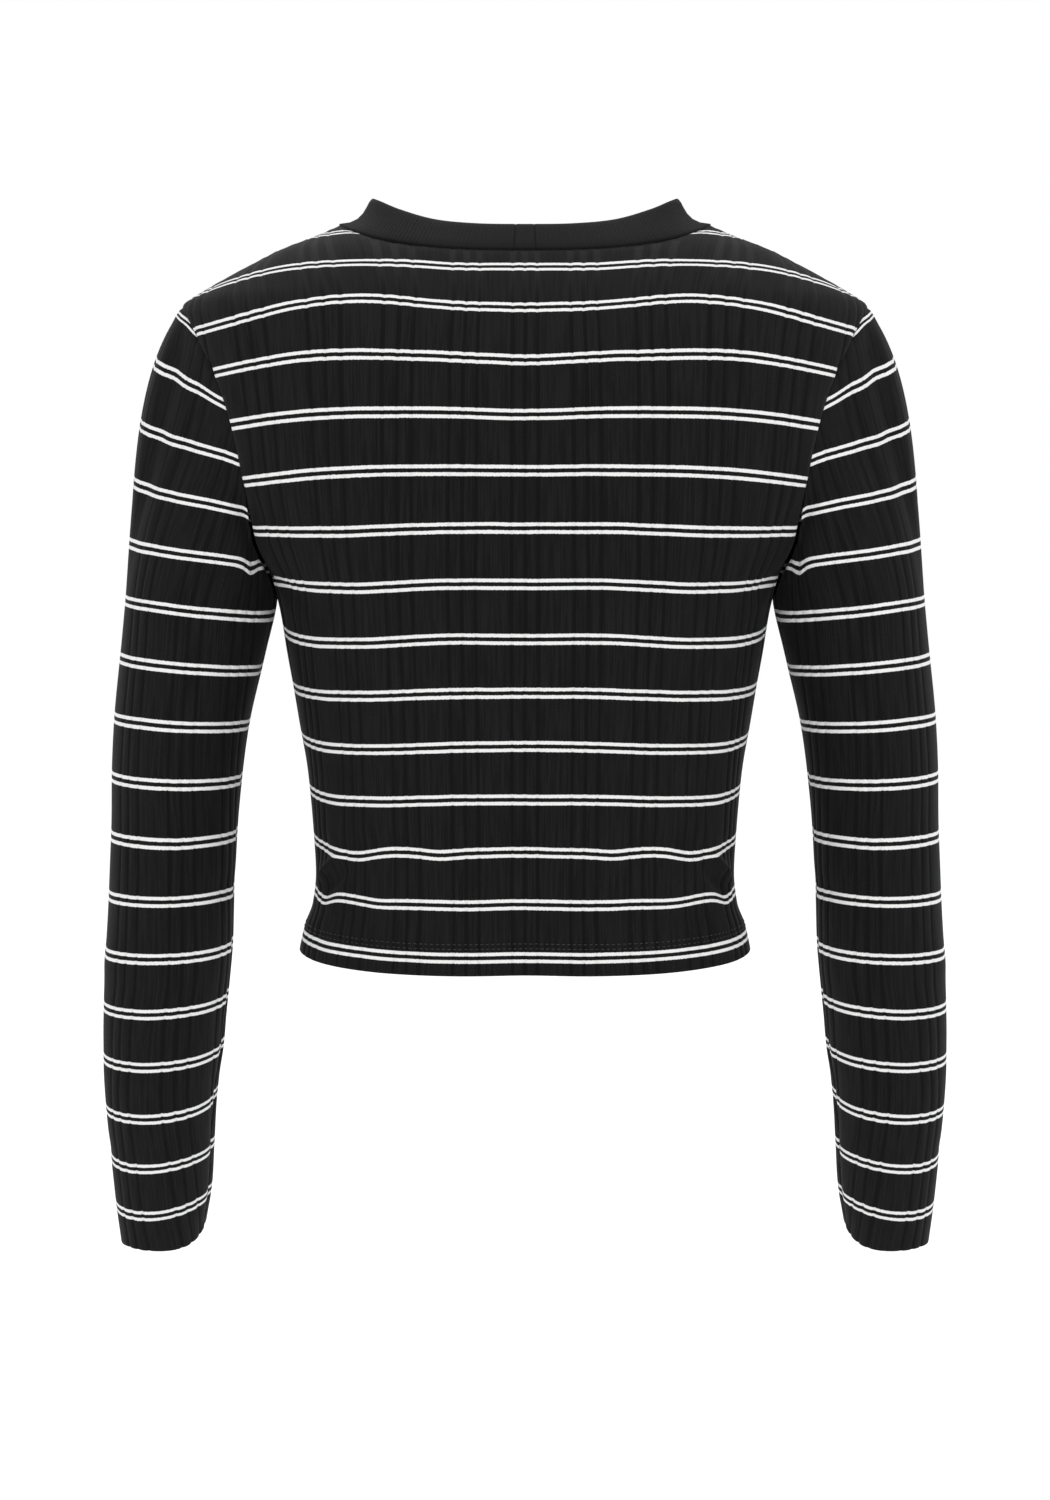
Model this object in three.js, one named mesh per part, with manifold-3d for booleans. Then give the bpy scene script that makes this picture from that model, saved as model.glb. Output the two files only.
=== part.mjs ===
// Fitted long-sleeved crop top in a fine drop-needle rib knit, held in its worn shape with nobody in it.
// Millimetres, +Z up. The wearer's front faces -Y, the wearer's left arm is at +X.
// The origin is midway between the two neck points of the shoulder seams, where the wearer holds it up.
import * as THREE from 'three';
import { mergeVertices } from 'three/addons/utils/BufferGeometryUtils.js';
import Module from 'manifold-3d';

const CLOTH = 1.4; // wall of the body and the sleeves
const HEM_WALL = 2.3; // wall where a hem is turned up inside
const HEM_DEPTH = 17; // height of the turned hem
const CUFF_DEPTH = 12; // height of the turned cuff edge
const SEAM_GAP = 0.36; // between the cut edges of two pieces, measured on the flat cloth
const RIB_REPEAT = 33.4; // from one group of rib grooves to the next, on the flat cloth
const RIB_PITCH = 7.2; // between the three grooves of a group
const RIB_EDGE = 1.6; // from a group's outer groove to the plain cloth beside it
const RIB_DEPTH = 0.45;
const BAND_WALL = 2.4; // the neckband is folded double
const BAND_RIBS = 72;
const BAND_RIB_DEPTH = 0.35;
const BAND_GAP = 0.25; // between the neck seam and the neckband's lower edge

// The body seen level by level: half its width, and its depth behind and in front of the side seams.
// stretch is how much wider the cloth is worn than it lies flat.
const BODY = [
  { z: -418, half: 131, back: 80, front: 85, stretch: 1.02 },
  { z: -400, half: 127, back: 79.5, front: 84, stretch: 1.01 },
  { z: -388, half: 122.5, back: 79, front: 83, stretch: 1 },
  { z: -370, half: 120.5, back: 79.5, front: 83, stretch: 1 },
  { z: -350, half: 121.5, back: 81.5, front: 85, stretch: 1 },
  { z: -315, half: 124.5, back: 86, front: 92, stretch: 1.01 },
  { z: -280, half: 130, back: 91.5, front: 103, stretch: 1.02 },
  { z: -245, half: 136, back: 96.5, front: 112, stretch: 1.035 },
  { z: -212, half: 142, back: 100, front: 116, stretch: 1.05 },
  { z: -178, half: 167, back: 102, front: 110, stretch: 1.065 },
  { z: -145, half: 184, back: 102.5, front: 99, stretch: 1.08 },
  { z: -115, half: 191, back: 100, front: 88, stretch: 1.09 },
  { z: -86, half: 196, back: 94.5, front: 76, stretch: 1.1 },
  { z: -70, half: 198.5, back: 89.5, front: 70, stretch: 1.105 },
  { z: -55, half: 198.5, back: 83, front: 64, stretch: 1.11 },
  { z: -47, half: 195, back: 78.5, front: 61, stretch: 1.11 },
  { z: -38, half: 181.5, back: 73, front: 57, stretch: 1.115 },
  { z: -30, half: 167.5, back: 67, front: 53, stretch: 1.12 },
  { z: -22, half: 152.5, back: 60, front: 48, stretch: 1.12 },
  { z: -16, half: 141, back: 53, front: 44, stretch: 1.12 },
  { z: -10, half: 126, back: 44, front: 38, stretch: 1.12 },
  { z: -5, half: 114, back: 36, front: 32, stretch: 1.12 },
  { z: 0, half: 105, back: 27, front: 25, stretch: 1.12 },
  { z: 6, half: 94, back: 18, front: 18, stretch: 1.12 },
];

// Where a course of the knit lies on the body: v is its height above the hem on the flat cloth,
// the rest are its worn heights from the middle of the body across to the side.
const COURSES = [
  { v: -9, middle: -424.5, quarter: -425.5, half: -425.5, threeQuarters: -423.5, side: -420 },
  { v: 9, middle: -409, quarter: -410, half: -410, threeQuarters: -408, side: -404.5 },
  { v: 42, middle: -380, quarter: -381, half: -381, threeQuarters: -380, side: -380 },
  { v: 75, middle: -351, quarter: -352, half: -352.5, threeQuarters: -354.5, side: -348 },
  { v: 108, middle: -322, quarter: -322.5, half: -324.5, threeQuarters: -325, side: -320 },
  { v: 141, middle: -292.5, quarter: -293.5, half: -295.5, threeQuarters: -295.5, side: -290.5 },
  { v: 174, middle: -263.5, quarter: -264, half: -266, threeQuarters: -266, side: -262 },
  { v: 207, middle: -234.5, quarter: -234.5, half: -237, threeQuarters: -236, side: -229 },
  { v: 240, middle: -205, quarter: -205, half: -207, threeQuarters: -205, side: -201 },
  { v: 273, middle: -175, quarter: -175, half: -176.5, threeQuarters: -175.5, side: -173 },
  { v: 306, middle: -144.5, quarter: -144, half: -145, threeQuarters: -149, side: -150 },
  { v: 339, middle: -114.5, quarter: -113, half: -113, threeQuarters: -117.5, side: -120 },
  { v: 372, middle: -85, quarter: -82.5, half: -81, threeQuarters: -87.5, side: -93 },
  { v: 405, middle: -56, quarter: -54.5, half: -51, threeQuarters: -62, side: -68 },
  { v: 438, middle: -32.5, quarter: -32, half: -27.5, threeQuarters: -33, side: -46 },
  { v: 471, middle: -13, quarter: -12, half: -8, threeQuarters: -7.5, side: -9 },
  { v: 490, middle: 2, quarter: 3, half: 5, threeQuarters: 6, side: 7 },
];

// The armhole seam: how far round from the side of the body it lies, in degrees, at each height.
const ARMHOLE = [
  { z: -213, turn: 0 },
  { z: -207, turn: 8.5 },
  { z: -196, turn: 17 },
  { z: -180, turn: 24.4 },
  { z: -165, turn: 28.6 },
  { z: -150, turn: 31 },
  { z: -135, turn: 31.8 },
  { z: -120, turn: 31.4 },
  { z: -103, turn: 30 },
  { z: -88, turn: 27.7 },
  { z: -75, turn: 25 },
  { z: -64, turn: 21 },
  { z: -56, turn: 17 },
  { z: -50, turn: 10 },
  { z: -46.5, turn: 0 },
];

// The neck seam and the top edge of the neckband, from the middle of the back over the shoulder to the front.
// face is 1 on the back panel and -1 on the front panel.
const NECK = [
  { face: 1, x: 0, z: -22, topX: 0, topY: 44, topZ: -5.4 },
  { face: 1, x: 30, z: -21.3, topX: 26, topY: 41, topZ: -4.6 },
  { face: 1, x: 57, z: -18.6, topX: 50, topY: 33, topZ: -1.2 },
  { face: 1, x: 80, z: -13.5, topX: 70, topY: 22, topZ: 6 },
  { face: 1, x: 97, z: -6.5, topX: 83, topY: 9, topZ: 13.5 },
  { face: 1, x: 105.5, z: -0.6, topX: 88, topY: -4, topZ: 16.6 },
  { face: -1, x: 105.5, z: -10, topX: 87.5, topY: -16, topZ: 12 },
  { face: -1, x: 102, z: -22, topX: 84, topY: -30, topZ: 1 },
  { face: -1, x: 94, z: -38, topX: 76, topY: -43, topZ: -15 },
  { face: -1, x: 78, z: -55, topX: 62, topY: -54, topZ: -33 },
  { face: -1, x: 56, z: -67, topX: 43, topY: -61, topZ: -46.5 },
  { face: -1, x: 28, z: -74, topX: 21, topY: -65, topZ: -53.5 },
  { face: -1, x: 0, z: -76, topX: 0, topY: -66.5, topZ: -55.5 },
];

// The sleeve ring by ring up from the cuff: its middle, its tilt across and its tip forward in degrees,
// and its half width and half depth. v is the height above the cuff on the flat cloth.
const SLEEVE = [
  { v: 0, x: 217.5, y: -50, z: -590.5, tilt: -8.5, tip: 17.5, half: 25.5, deep: 26 },
  { v: 21, x: 216, y: -43, z: -568.5, tilt: -7, tip: 14.5, half: 28.5, deep: 28 },
  { v: 54, x: 215, y: -32, z: -538.5, tilt: -5.5, tip: 12.5, half: 30.5, deep: 29.5 },
  { v: 87, x: 214, y: -22, z: -507, tilt: -5, tip: 11, half: 32.5, deep: 31.5 },
  { v: 120, x: 211.5, y: -14, z: -476, tilt: -4, tip: 9, half: 35, deep: 33.5 },
  { v: 153, x: 209, y: -8, z: -445.5, tilt: -3, tip: 6, half: 36, deep: 35.5 },
  { v: 186, x: 206, y: -3, z: -414.5, tilt: -2, tip: 3.5, half: 36.5, deep: 36.5 },
  { v: 219, x: 204, y: 0, z: -382, tilt: -1, tip: 2, half: 36, deep: 38 },
  { v: 252, x: 202, y: 2, z: -348, tilt: 0.5, tip: 2.5, half: 36, deep: 39.5 },
  { v: 285, x: 200, y: 3, z: -315, tilt: 2, tip: 2.5, half: 37, deep: 41.5 },
  { v: 318, x: 196.5, y: 4, z: -282.5, tilt: 3.5, tip: 2, half: 38, deep: 43 },
  { v: 351, x: 191, y: 4, z: -249.5, tilt: 5, tip: 2.5, half: 40, deep: 45 },
  { v: 380, x: 186.5, y: 4, z: -222, tilt: 6.5, tip: 2, half: 42, deep: 46 },
];
const SLEEVE_STRETCH = 1.04;
const RINGS_END = 380; // above this the sleeve runs up to the armhole
const UNDERARM = 393.5; // height of the sleeve's flat piece at the underarm seam
const CAP_TOP = 559.5; // and at the top of its cap
const CAP_FALL = 0.735; // how the cap's edge falls from its top to the underarm
const CAP_LEAVE = { top: 0.97, under: 1.21 }; // how strongly the cap keeps on up the arm
const CAP_ARRIVE = { top: 0.86, under: 0.9 }; // and how strongly it comes in over the armhole
const CAP_FOLD = 0.68; // below this share of the armhole the sleeve folds against the body

// The largest soft creases, on the flat cloth of the half panel that is drawn: run is their direction in
// degrees from level, and rise is how far the cloth stands out (in, where it is negative).
const BODY_CREASES = [
  { u: 130, v: 55, run: -48, length: 42, width: 8, rise: -2.2 },
  { u: 134, v: 74, run: -40, length: 46, width: 10, rise: 1.3 },
  { u: 146, v: 236, run: 34, length: 56, width: 11, rise: -1.5 },
];
const SLEEVE_CREASES = [
  { u: 104, v: 424, run: 58, length: 74, width: 10, rise: -2 },
  { u: 88, v: 408, run: 52, length: 80, width: 14, rise: 1.6 },
  { u: 60, v: 236, run: 12, length: 54, width: 13, rise: -1.2 },
];

const BLACK_KNIT = { color: 0x1d1d20, roughness: 0.86, metalness: 0 };

const wasm = await Module();
wasm.setup();

// A table's column at x, on a cubic through its rows that never overshoots them.
function smooth(table, key, column, x) {
  const last = table.length - 1;
  const gap = (i) => table[i + 1][key] - table[i][key];
  const slope = (i) => (table[i + 1][column] - table[i][column]) / gap(i);
  const tangent = (i) => {
    if (i === 0) return slope(0);
    if (i === last) return slope(last - 1);
    const before = slope(i - 1);
    const after = slope(i);
    if (before * after <= 0) return 0;
    const a = 2 * gap(i) + gap(i - 1);
    const b = gap(i) + 2 * gap(i - 1);
    return (a + b) / (a / before + b / after);
  };
  if (x <= table[0][key]) return table[0][column] + (x - table[0][key]) * tangent(0);
  if (x >= table[last][key]) return table[last][column] + (x - table[last][key]) * tangent(last);
  let i = 0;
  while (x > table[i + 1][key]) i++;
  const h = gap(i);
  const t = (x - table[i][key]) / h;
  const t2 = t * t;
  const t3 = t2 * t;
  return (2 * t3 - 3 * t2 + 1) * table[i][column] + (t3 - 2 * t2 + t) * h * tangent(i)
    + (3 * t2 - 2 * t3) * table[i + 1][column] + (t3 - t2) * h * tangent(i + 1);
}

// One level of the body on the side of one panel (face 1 is the back).
function level(z, face) {
  const half = smooth(BODY, 'z', 'half', z);
  const back = smooth(BODY, 'z', 'back', z);
  const depth = face > 0 ? back : smooth(BODY, 'z', 'front', z);
  const stretch = smooth(BODY, 'z', 'stretch', z) * (half + depth) / (half + back);
  return { half, depth, stretch, flat: Math.PI / 4 * (half + depth) / stretch };
}

// The worn height of the course v, at the share w of the way from the middle to the side.
function courseHeight(v, w) {
  const at = ['middle', 'quarter', 'half', 'threeQuarters', 'side'].map((name) => smooth(COURSES, 'v', name, v));
  const x = Math.min(Math.abs(w), 1) * 4;
  const i = Math.min(Math.floor(x), 3);
  const t = x - i;
  const p0 = i === 0 ? at[1] : at[i - 1];
  const p1 = at[i];
  const p2 = at[i + 1];
  const p3 = i === 3 ? 2 * at[4] - at[3] : at[i + 2];
  return 0.5 * (2 * p1 + (p2 - p0) * t + (2 * p0 - 5 * p1 + 4 * p2 - p3) * t * t
    + (3 * p1 - p0 - 3 * p2 + p3) * t * t * t);
}

function onBody(z, angle, face) {
  const { half, depth } = level(z, face);
  return new THREE.Vector3(half * Math.sin(angle), face * depth * Math.cos(angle), z);
}

// A point u across and v up the flat panel, where it is worn.
function wornBody(u, v, face) {
  let w = u / level(courseHeight(v, 0.5), face).flat;
  for (let i = 0; i < 14; i++) {
    const z = courseHeight(v, w);
    w = 0.5 * w + 0.5 * u / level(z, face).flat;
  }
  const z = courseHeight(v, w);
  const { half, depth } = level(z, face);
  const t = w * Math.PI / 2;
  return onBody(z, t - (half - depth) / (half + depth) / 2 * Math.sin(2 * t), face);
}

// The flat place of the worn point at a height and at an angle round from the middle.
function flatBody(z, angle, face) {
  const { half, depth, flat } = level(z, face);
  const e = (half - depth) / (half + depth);
  let t = angle;
  for (let i = 0; i < 30; i++) t -= (t - e / 2 * Math.sin(2 * t) - angle) / (1 - e * Math.cos(2 * t));
  const w = t / (Math.PI / 2);
  let low = -40;
  let high = 520;
  for (let i = 0; i < 50; i++) {
    const v = (low + high) / 2;
    if (courseHeight(v, w) > z) high = v;
    else low = v;
  }
  return new THREE.Vector2(w * flat, (low + high) / 2);
}

// The armhole on one face, from the shoulder (share 0) to the underarm (share 1), by its length.
function armhole(face) {
  const top = ARMHOLE[ARMHOLE.length - 1].z;
  const bottom = ARMHOLE[0].z;
  const angleAt = (z) => Math.PI / 2 - THREE.MathUtils.degToRad(smooth(ARMHOLE, 'z', 'turn', z));
  const steps = 240;
  const heights = [];
  const run = [];
  let before = null;
  for (let i = 0; i <= steps; i++) {
    const z = top + (bottom - top) * i / steps;
    const p = onBody(z, angleAt(z), face);
    run.push(before ? run[i - 1] + p.distanceTo(before) : 0);
    heights.push(z);
    before = p;
  }
  return (share) => {
    const want = THREE.MathUtils.clamp(share, 0, 1) * run[steps];
    let i = 0;
    while (i < steps - 1 && run[i + 1] < want) i++;
    const f = (want - run[i]) / (run[i + 1] - run[i]);
    const z = heights[i] + (heights[i + 1] - heights[i]) * f;
    const angle = angleAt(z);
    const point = onBody(z, angle, face);
    const up = onBody(z + 0.5, angle, face).sub(onBody(z - 0.5, angle, face));
    const round = onBody(z, angle + 0.01, face).sub(onBody(z, angle - 0.01, face));
    const normal = up.cross(round).normalize();
    if (normal.x < 0) normal.negate();
    return { z, angle, point, normal };
  };
}
const ARMHOLE_AT = { back: armhole(1), front: armhole(-1) };

function sleeveRing(q, v, face) {
  const at = (name) => smooth(SLEEVE, 'v', name, v);
  const across = at('half') * Math.cos(Math.PI * q);
  const deep = face * at('deep') * Math.sin(Math.PI * q);
  const tilt = THREE.MathUtils.degToRad(at('tilt'));
  const tip = THREE.MathUtils.degToRad(at('tip'));
  return new THREE.Vector3(at('x') + across, at('y') + deep * Math.cos(tip),
    at('z') + across * Math.tan(tilt) - deep * Math.sin(tip));
}

// Half the flat sleeve's width at v, and the height of its cap at the share q from the middle to the edge.
function sleeveHalf(v) {
  const at = (name) => smooth(SLEEVE, 'v', name, Math.min(v, RINGS_END));
  return Math.PI / 2 * (at('half') + at('deep')) / SLEEVE_STRETCH;
}
function capHeight(q) {
  return UNDERARM + (CAP_TOP - UNDERARM) * Math.pow((1 + Math.cos(Math.PI * q)) / 2, CAP_FALL);
}

// A point u across and v up the flat sleeve, where it is worn on the +X arm.
function wornSleeve(u, v) {
  const face = u < 0 ? -1 : 1;
  const q = Math.min(Math.abs(u) / sleeveHalf(v), 1.02);
  if (v <= RINGS_END) return sleeveRing(q, v, face);
  const f = THREE.MathUtils.clamp((v - RINGS_END) / (capHeight(Math.min(q, 1)) - RINGS_END), 0, 1.1);
  const end = ARMHOLE_AT[face > 0 ? 'back' : 'front'](q);
  const start = sleeveRing(q, RINGS_END, face);
  const up = start.clone().sub(sleeveRing(q, RINGS_END - 1, face)).normalize();
  const chord = start.clone().sub(end.point);
  const length = chord.length();
  const along = chord.clone().addScaledVector(end.normal, -chord.dot(end.normal)).normalize();
  const flush = THREE.MathUtils.smoothstep(CAP_FOLD + 0.18 - q, 0, 0.36);
  const away = along.multiplyScalar(flush).addScaledVector(chord, (1 - flush) / length).normalize();
  const leave = THREE.MathUtils.lerp(CAP_LEAVE.top, CAP_LEAVE.under, q) * length;
  const arrive = THREE.MathUtils.lerp(CAP_ARRIVE.top, CAP_ARRIVE.under, 1 - (1 - q) * (1 - q)) * length;
  const f2 = f * f;
  const f3 = f2 * f;
  return new THREE.Vector3()
    .addScaledVector(start, 2 * f3 - 3 * f2 + 1)
    .addScaledVector(up, (f3 - 2 * f2 + f) * leave)
    .addScaledVector(end.point, 3 * f2 - 2 * f3)
    .addScaledVector(away, (f2 - f3) * arrive);
}

function creaseRise(creases, u, v) {
  let rise = 0;
  for (const c of creases) {
    const run = THREE.MathUtils.degToRad(c.run);
    const along = (u - c.u) * Math.cos(run) + (v - c.v) * Math.sin(run);
    const across = (v - c.v) * Math.cos(run) - (u - c.u) * Math.sin(run);
    const fade = Math.max(0, 1 - Math.pow(2 * along / c.length, 2));
    rise += c.rise * fade * fade * Math.exp(-Math.pow(across / c.width, 2));
  }
  return rise;
}

// Columns over the ribs of a panel, and a plainer set for the inside of the cloth, with so many to a repeat.
function ribColumns(reach, plainColumns, insideColumns) {
  const outer = [];
  const inner = [];
  const groups = Math.ceil(reach / RIB_REPEAT);
  const between = RIB_REPEAT - 2 * (RIB_PITCH + RIB_EDGE);
  for (let i = -groups; i <= groups; i++) {
    for (const step of [-RIB_PITCH - RIB_EDGE, -RIB_PITCH, -RIB_PITCH / 2, 0, RIB_PITCH / 2, RIB_PITCH,
      RIB_PITCH + RIB_EDGE]) outer.push(i * RIB_REPEAT + step);
    for (let k = 1; k <= plainColumns; k++) {
      outer.push(i * RIB_REPEAT + RIB_PITCH + RIB_EDGE + between * k / (plainColumns + 1));
    }
    for (let k = 0; k < insideColumns; k++) inner.push((i + k / insideColumns) * RIB_REPEAT);
  }
  return { outer, inner };
}
function groove(u) {
  const within = Math.abs(u - Math.round(u / RIB_REPEAT) * RIB_REPEAT);
  return within < 0.1 || Math.abs(within - RIB_PITCH) < 0.1 ? -RIB_DEPTH : 0;
}

// A flat cloth on rows of two sets of columns, one for each face, closed along its four edges.
function flatCloth(outer, inner, rows, outside, inside) {
  const places = [];
  const triangles = [];
  const lay = (columns, height) => rows.map((v) => columns.map((u) => {
    places.push(u, v, height(u, v));
    return places.length / 3 - 1;
  }));
  const front = lay(outer, outside);
  const back = lay(inner, inside);
  const face = (grid, turned) => {
    for (let j = 0; j < grid.length - 1; j++) {
      for (let i = 0; i < grid[j].length - 1; i++) {
        const [a, b, c, d] = [grid[j][i], grid[j][i + 1], grid[j + 1][i + 1], grid[j + 1][i]];
        if (turned) triangles.push(a, c, b, a, d, c);
        else triangles.push(a, b, c, a, c, d);
      }
    }
  };
  const edge = (near, far, axis, turned) => {
    let i = 0;
    let j = 0;
    while (i < near.length - 1 || j < far.length - 1) {
      const takeNear = j === far.length - 1
        || (i < near.length - 1 && places[near[i + 1] * 3 + axis] <= places[far[j + 1] * 3 + axis]);
      const [a, b, c] = takeNear ? [near[i], far[j], near[i + 1]] : [near[i], far[j], far[j + 1]];
      if (turned) triangles.push(a, c, b);
      else triangles.push(a, b, c);
      if (takeNear) i++;
      else j++;
    }
  };
  face(front, false);
  face(back, true);
  edge(front[0], back[0], 0, false);
  edge(front.at(-1), back.at(-1), 0, true);
  edge(front.map((row) => row[0]), back.map((row) => row[0]), 1, true);
  edge(front.map((row) => row.at(-1)), back.map((row) => row.at(-1)), 1, false);
  return new wasm.Manifold(new wasm.Mesh({
    numProp: 3,
    vertProperties: new Float32Array(places),
    triVerts: new Uint32Array(triangles),
  }));
}

// The flat cloth cut along a pattern outline, drawn as the right half from the bottom middle to the top middle.
function cutOut(cloth, half) {
  const inset = half.map((p, i) => {
    const before = half[Math.max(i - 1, 0)];
    const after = half[Math.min(i + 1, half.length - 1)];
    const way = after.clone().sub(before).normalize();
    return p.keep ? p.clone() : new THREE.Vector2(p.x - way.y * SEAM_GAP / 2, p.y + way.x * SEAM_GAP / 2);
  });
  const other = inset.slice().reverse().map((p) => new THREE.Vector2(-p.x, p.y)).filter((p) => p.x < -0.01);
  const shape = new THREE.Shape(inset.concat(other));
  const block = new THREE.ExtrudeGeometry(shape, { depth: 40, bevelEnabled: false });
  block.translate(0, 0, -20);
  block.deleteAttribute('normal');
  block.deleteAttribute('uv');
  const merged = mergeVertices(block, 1e-4);
  const cutter = new wasm.Manifold(new wasm.Mesh({
    numProp: 3,
    vertProperties: merged.attributes.position.array,
    triVerts: new Uint32Array(merged.index.array),
  }));
  return cloth.intersect(cutter);
}

// The cut cloth bent into its worn shape: each point goes to its place on the form and out along the form's normal.
function wear(cut, form, outward, creases, mirrored) {
  const mesh = cut.getMesh();
  const from = mesh.vertProperties;
  const step = mesh.numProp;
  const count = from.length / step;
  const positions = new Float32Array(count * 3);
  const d = 0.4;
  for (let i = 0; i < count; i++) {
    const [u, v, w] = [from[i * step], from[i * step + 1], from[i * step + 2]];
    const point = form(u, v);
    const acrossWay = form(u + d, v).sub(form(u - d, v));
    const upWay = form(u, v + d).sub(form(u, v - d));
    const normal = acrossWay.cross(upWay).multiplyScalar(outward).normalize();
    point.addScaledVector(normal, w + creaseRise(creases, Math.abs(u), v));
    positions[i * 3] = mirrored ? -point.x : point.x;
    positions[i * 3 + 1] = point.y;
    positions[i * 3 + 2] = point.z;
  }
  const index = Array.from(mesh.triVerts);
  if ((outward < 0) !== mirrored) {
    for (let i = 0; i < index.length; i += 3) [index[i + 1], index[i + 2]] = [index[i + 2], index[i + 1]];
  }
  const geometry = new THREE.BufferGeometry();
  geometry.setAttribute('position', new THREE.BufferAttribute(positions, 3));
  geometry.setIndex(index);
  geometry.computeVertexNormals();
  return geometry;
}

function piece(name, geometry) {
  const mesh = new THREE.Mesh(geometry, new THREE.MeshStandardMaterial(BLACK_KNIT));
  mesh.name = name;
  return mesh;
}

// The neck seam on the body, as a smooth line through the table's places.
function neckLine(face) {
  const rows = NECK.filter((row) => row.face === face);
  const places = rows.map((row) => new THREE.Vector2(row.x, row.z));
  if (face < 0) {
    places.unshift(new THREE.Vector2(105.5, -0.6));
    places.reverse();
  }
  return new THREE.SplineCurve(places);
}

// The pattern outline of the right half of a body panel: hem, side seam, armhole, shoulder seam and neck.
function bodyOutline(face) {
  const outline = [];
  const hem = new THREE.Vector2(0, 0);
  hem.keep = true;
  outline.push(hem);
  const side = (v) => {
    const z = courseHeight(v, 1);
    return new THREE.Vector2(level(z, face).flat, v);
  };
  const corner = side(0);
  corner.x -= SEAM_GAP / 2;
  corner.keep = true;
  outline.push(corner);
  const underarm = flatBody(ARMHOLE[0].z, Math.PI / 2, face);
  for (const v of [14, 30, 45, 62, 85, 112, 140, 168, 196]) outline.push(side(v));
  outline.push(underarm);
  const hole = ARMHOLE_AT[face > 0 ? 'back' : 'front'];
  const shares = [0.94, 0.88, 0.82, 0.76, 0.7, 0.64, 0.58, 0.52, 0.46, 0.4, 0.34, 0.29, 0.24, 0.2, 0.165, 0.13, 0.105,
    0.08, 0.055, 0.03];
  for (const share of shares) {
    const { z, angle } = hole(share);
    outline.push(flatBody(z, angle, face));
  }
  const shoulder = ARMHOLE.at(-1).z;
  for (const z of [shoulder, -38, -30, -22, -15, -9, -4]) outline.push(flatBody(z, Math.PI / 2, face));
  const neck = neckLine(face);
  for (let i = 14; i >= 0; i--) {
    const p = neck.getPoint(i / 14);
    const { half } = level(p.y, face);
    outline.push(flatBody(p.y, Math.asin(Math.min(p.x / half, 1)), face));
  }
  return outline;
}

const BODY_ROWS = [-6, 8, 17, 17.5, 34, 50, 70, 102, 138, 174, 207, 235, 262, 290, 318, 346, 372, 394, 410, 424, 437,
  450, 463, 477, 494];
function bodyPanel(face) {
  const reach = 205;
  const { outer, inner } = ribColumns(reach, 0, 2);
  const cloth = flatCloth(outer, inner, BODY_ROWS, (u) => groove(u), (u, v) => (v <= HEM_DEPTH ? -HEM_WALL : -CLOTH));
  return wear(cutOut(cloth, bodyOutline(face)), (u, v) => wornBody(u, v, face), -face, BODY_CREASES, false);
}

const SLEEVE_ROWS = [-6, 6, 12, 12.5, 34, 70, 110, 150, 195, 240, 285, 325, 355, 380, 397, 415, 434, 453, 472, 491,
  509, 525, 542, 566];
function sleevePanel(mirrored) {
  const { outer, inner } = ribColumns(150, 1, 3);
  const cloth = flatCloth(outer, inner, SLEEVE_ROWS, (u) => groove(u),
    (u, v) => (v <= CUFF_DEPTH ? -HEM_WALL : -CLOTH));
  const outline = [];
  const cuff = new THREE.Vector2(0, 0);
  cuff.keep = true;
  outline.push(cuff);
  const corner = new THREE.Vector2(sleeveHalf(0) - SEAM_GAP / 2, 0);
  corner.keep = true;
  outline.push(corner);
  for (const v of [30, 60, 100, 150, 200, 250, 300, 340, 365, 380]) outline.push(new THREE.Vector2(sleeveHalf(v), v));
  const half = sleeveHalf(RINGS_END);
  const shares = [1, 0.97, 0.94, 0.91, 0.88, 0.82, 0.76, 0.7, 0.64, 0.58, 0.52, 0.46, 0.4, 0.34, 0.29, 0.24, 0.2, 0.165,
    0.13, 0.105, 0.08, 0.055, 0.03, 0];
  for (const q of shares) outline.push(new THREE.Vector2(q * half, capHeight(q)));
  return wear(cutOut(cloth, outline), wornSleeve, 1, SLEEVE_CREASES, mirrored);
}

// The neckband: a folded ribbed strip standing on the neck seam, joined behind the neck. Its line runs from the
// middle of the back over the shoulder to the middle of the front, and back on the other side.
const BAND_ROWS = [
  { v: 0, out: 0, inside: -BAND_WALL },
  { v: 0.5, out: 0, inside: -BAND_WALL },
  { v: 0.94, out: -0.15, inside: 0.25 - BAND_WALL },
  { v: 1, out: -0.8, inside: 0.8 - BAND_WALL },
];
const backNeck = neckLine(1);
const frontNeck = neckLine(-1);
const bandTop = new THREE.CatmullRomCurve3(NECK.map((row) => new THREE.Vector3(row.topX, row.topY, row.topZ)),
  false, 'catmullrom', 0.5);
const SHOULDER_ROW = NECK.filter((row) => row.face > 0).length - 1;
const LAST_ROW = NECK.length - 1;
function seamAt(k) {
  const face = k <= SHOULDER_ROW ? 1 : -1;
  const p = face > 0 ? backNeck.getPoint(k / SHOULDER_ROW)
    : frontNeck.getPoint(1 - (k - SHOULDER_ROW) / (LAST_ROW - SHOULDER_ROW));
  const { half } = level(p.y, face);
  return onBody(p.y, Math.asin(Math.min(Math.max(p.x, 0) / half, 1)), face);
}
const bandRun = [0];
const BAND_STEPS = 240;
for (let i = 1; i <= BAND_STEPS; i++) {
  const length = seamAt(LAST_ROW * i / BAND_STEPS).distanceTo(seamAt(LAST_ROW * (i - 1) / BAND_STEPS));
  bandRun.push(bandRun[i - 1] + length);
}
const BAND_HALF = bandRun[BAND_STEPS];

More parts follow.
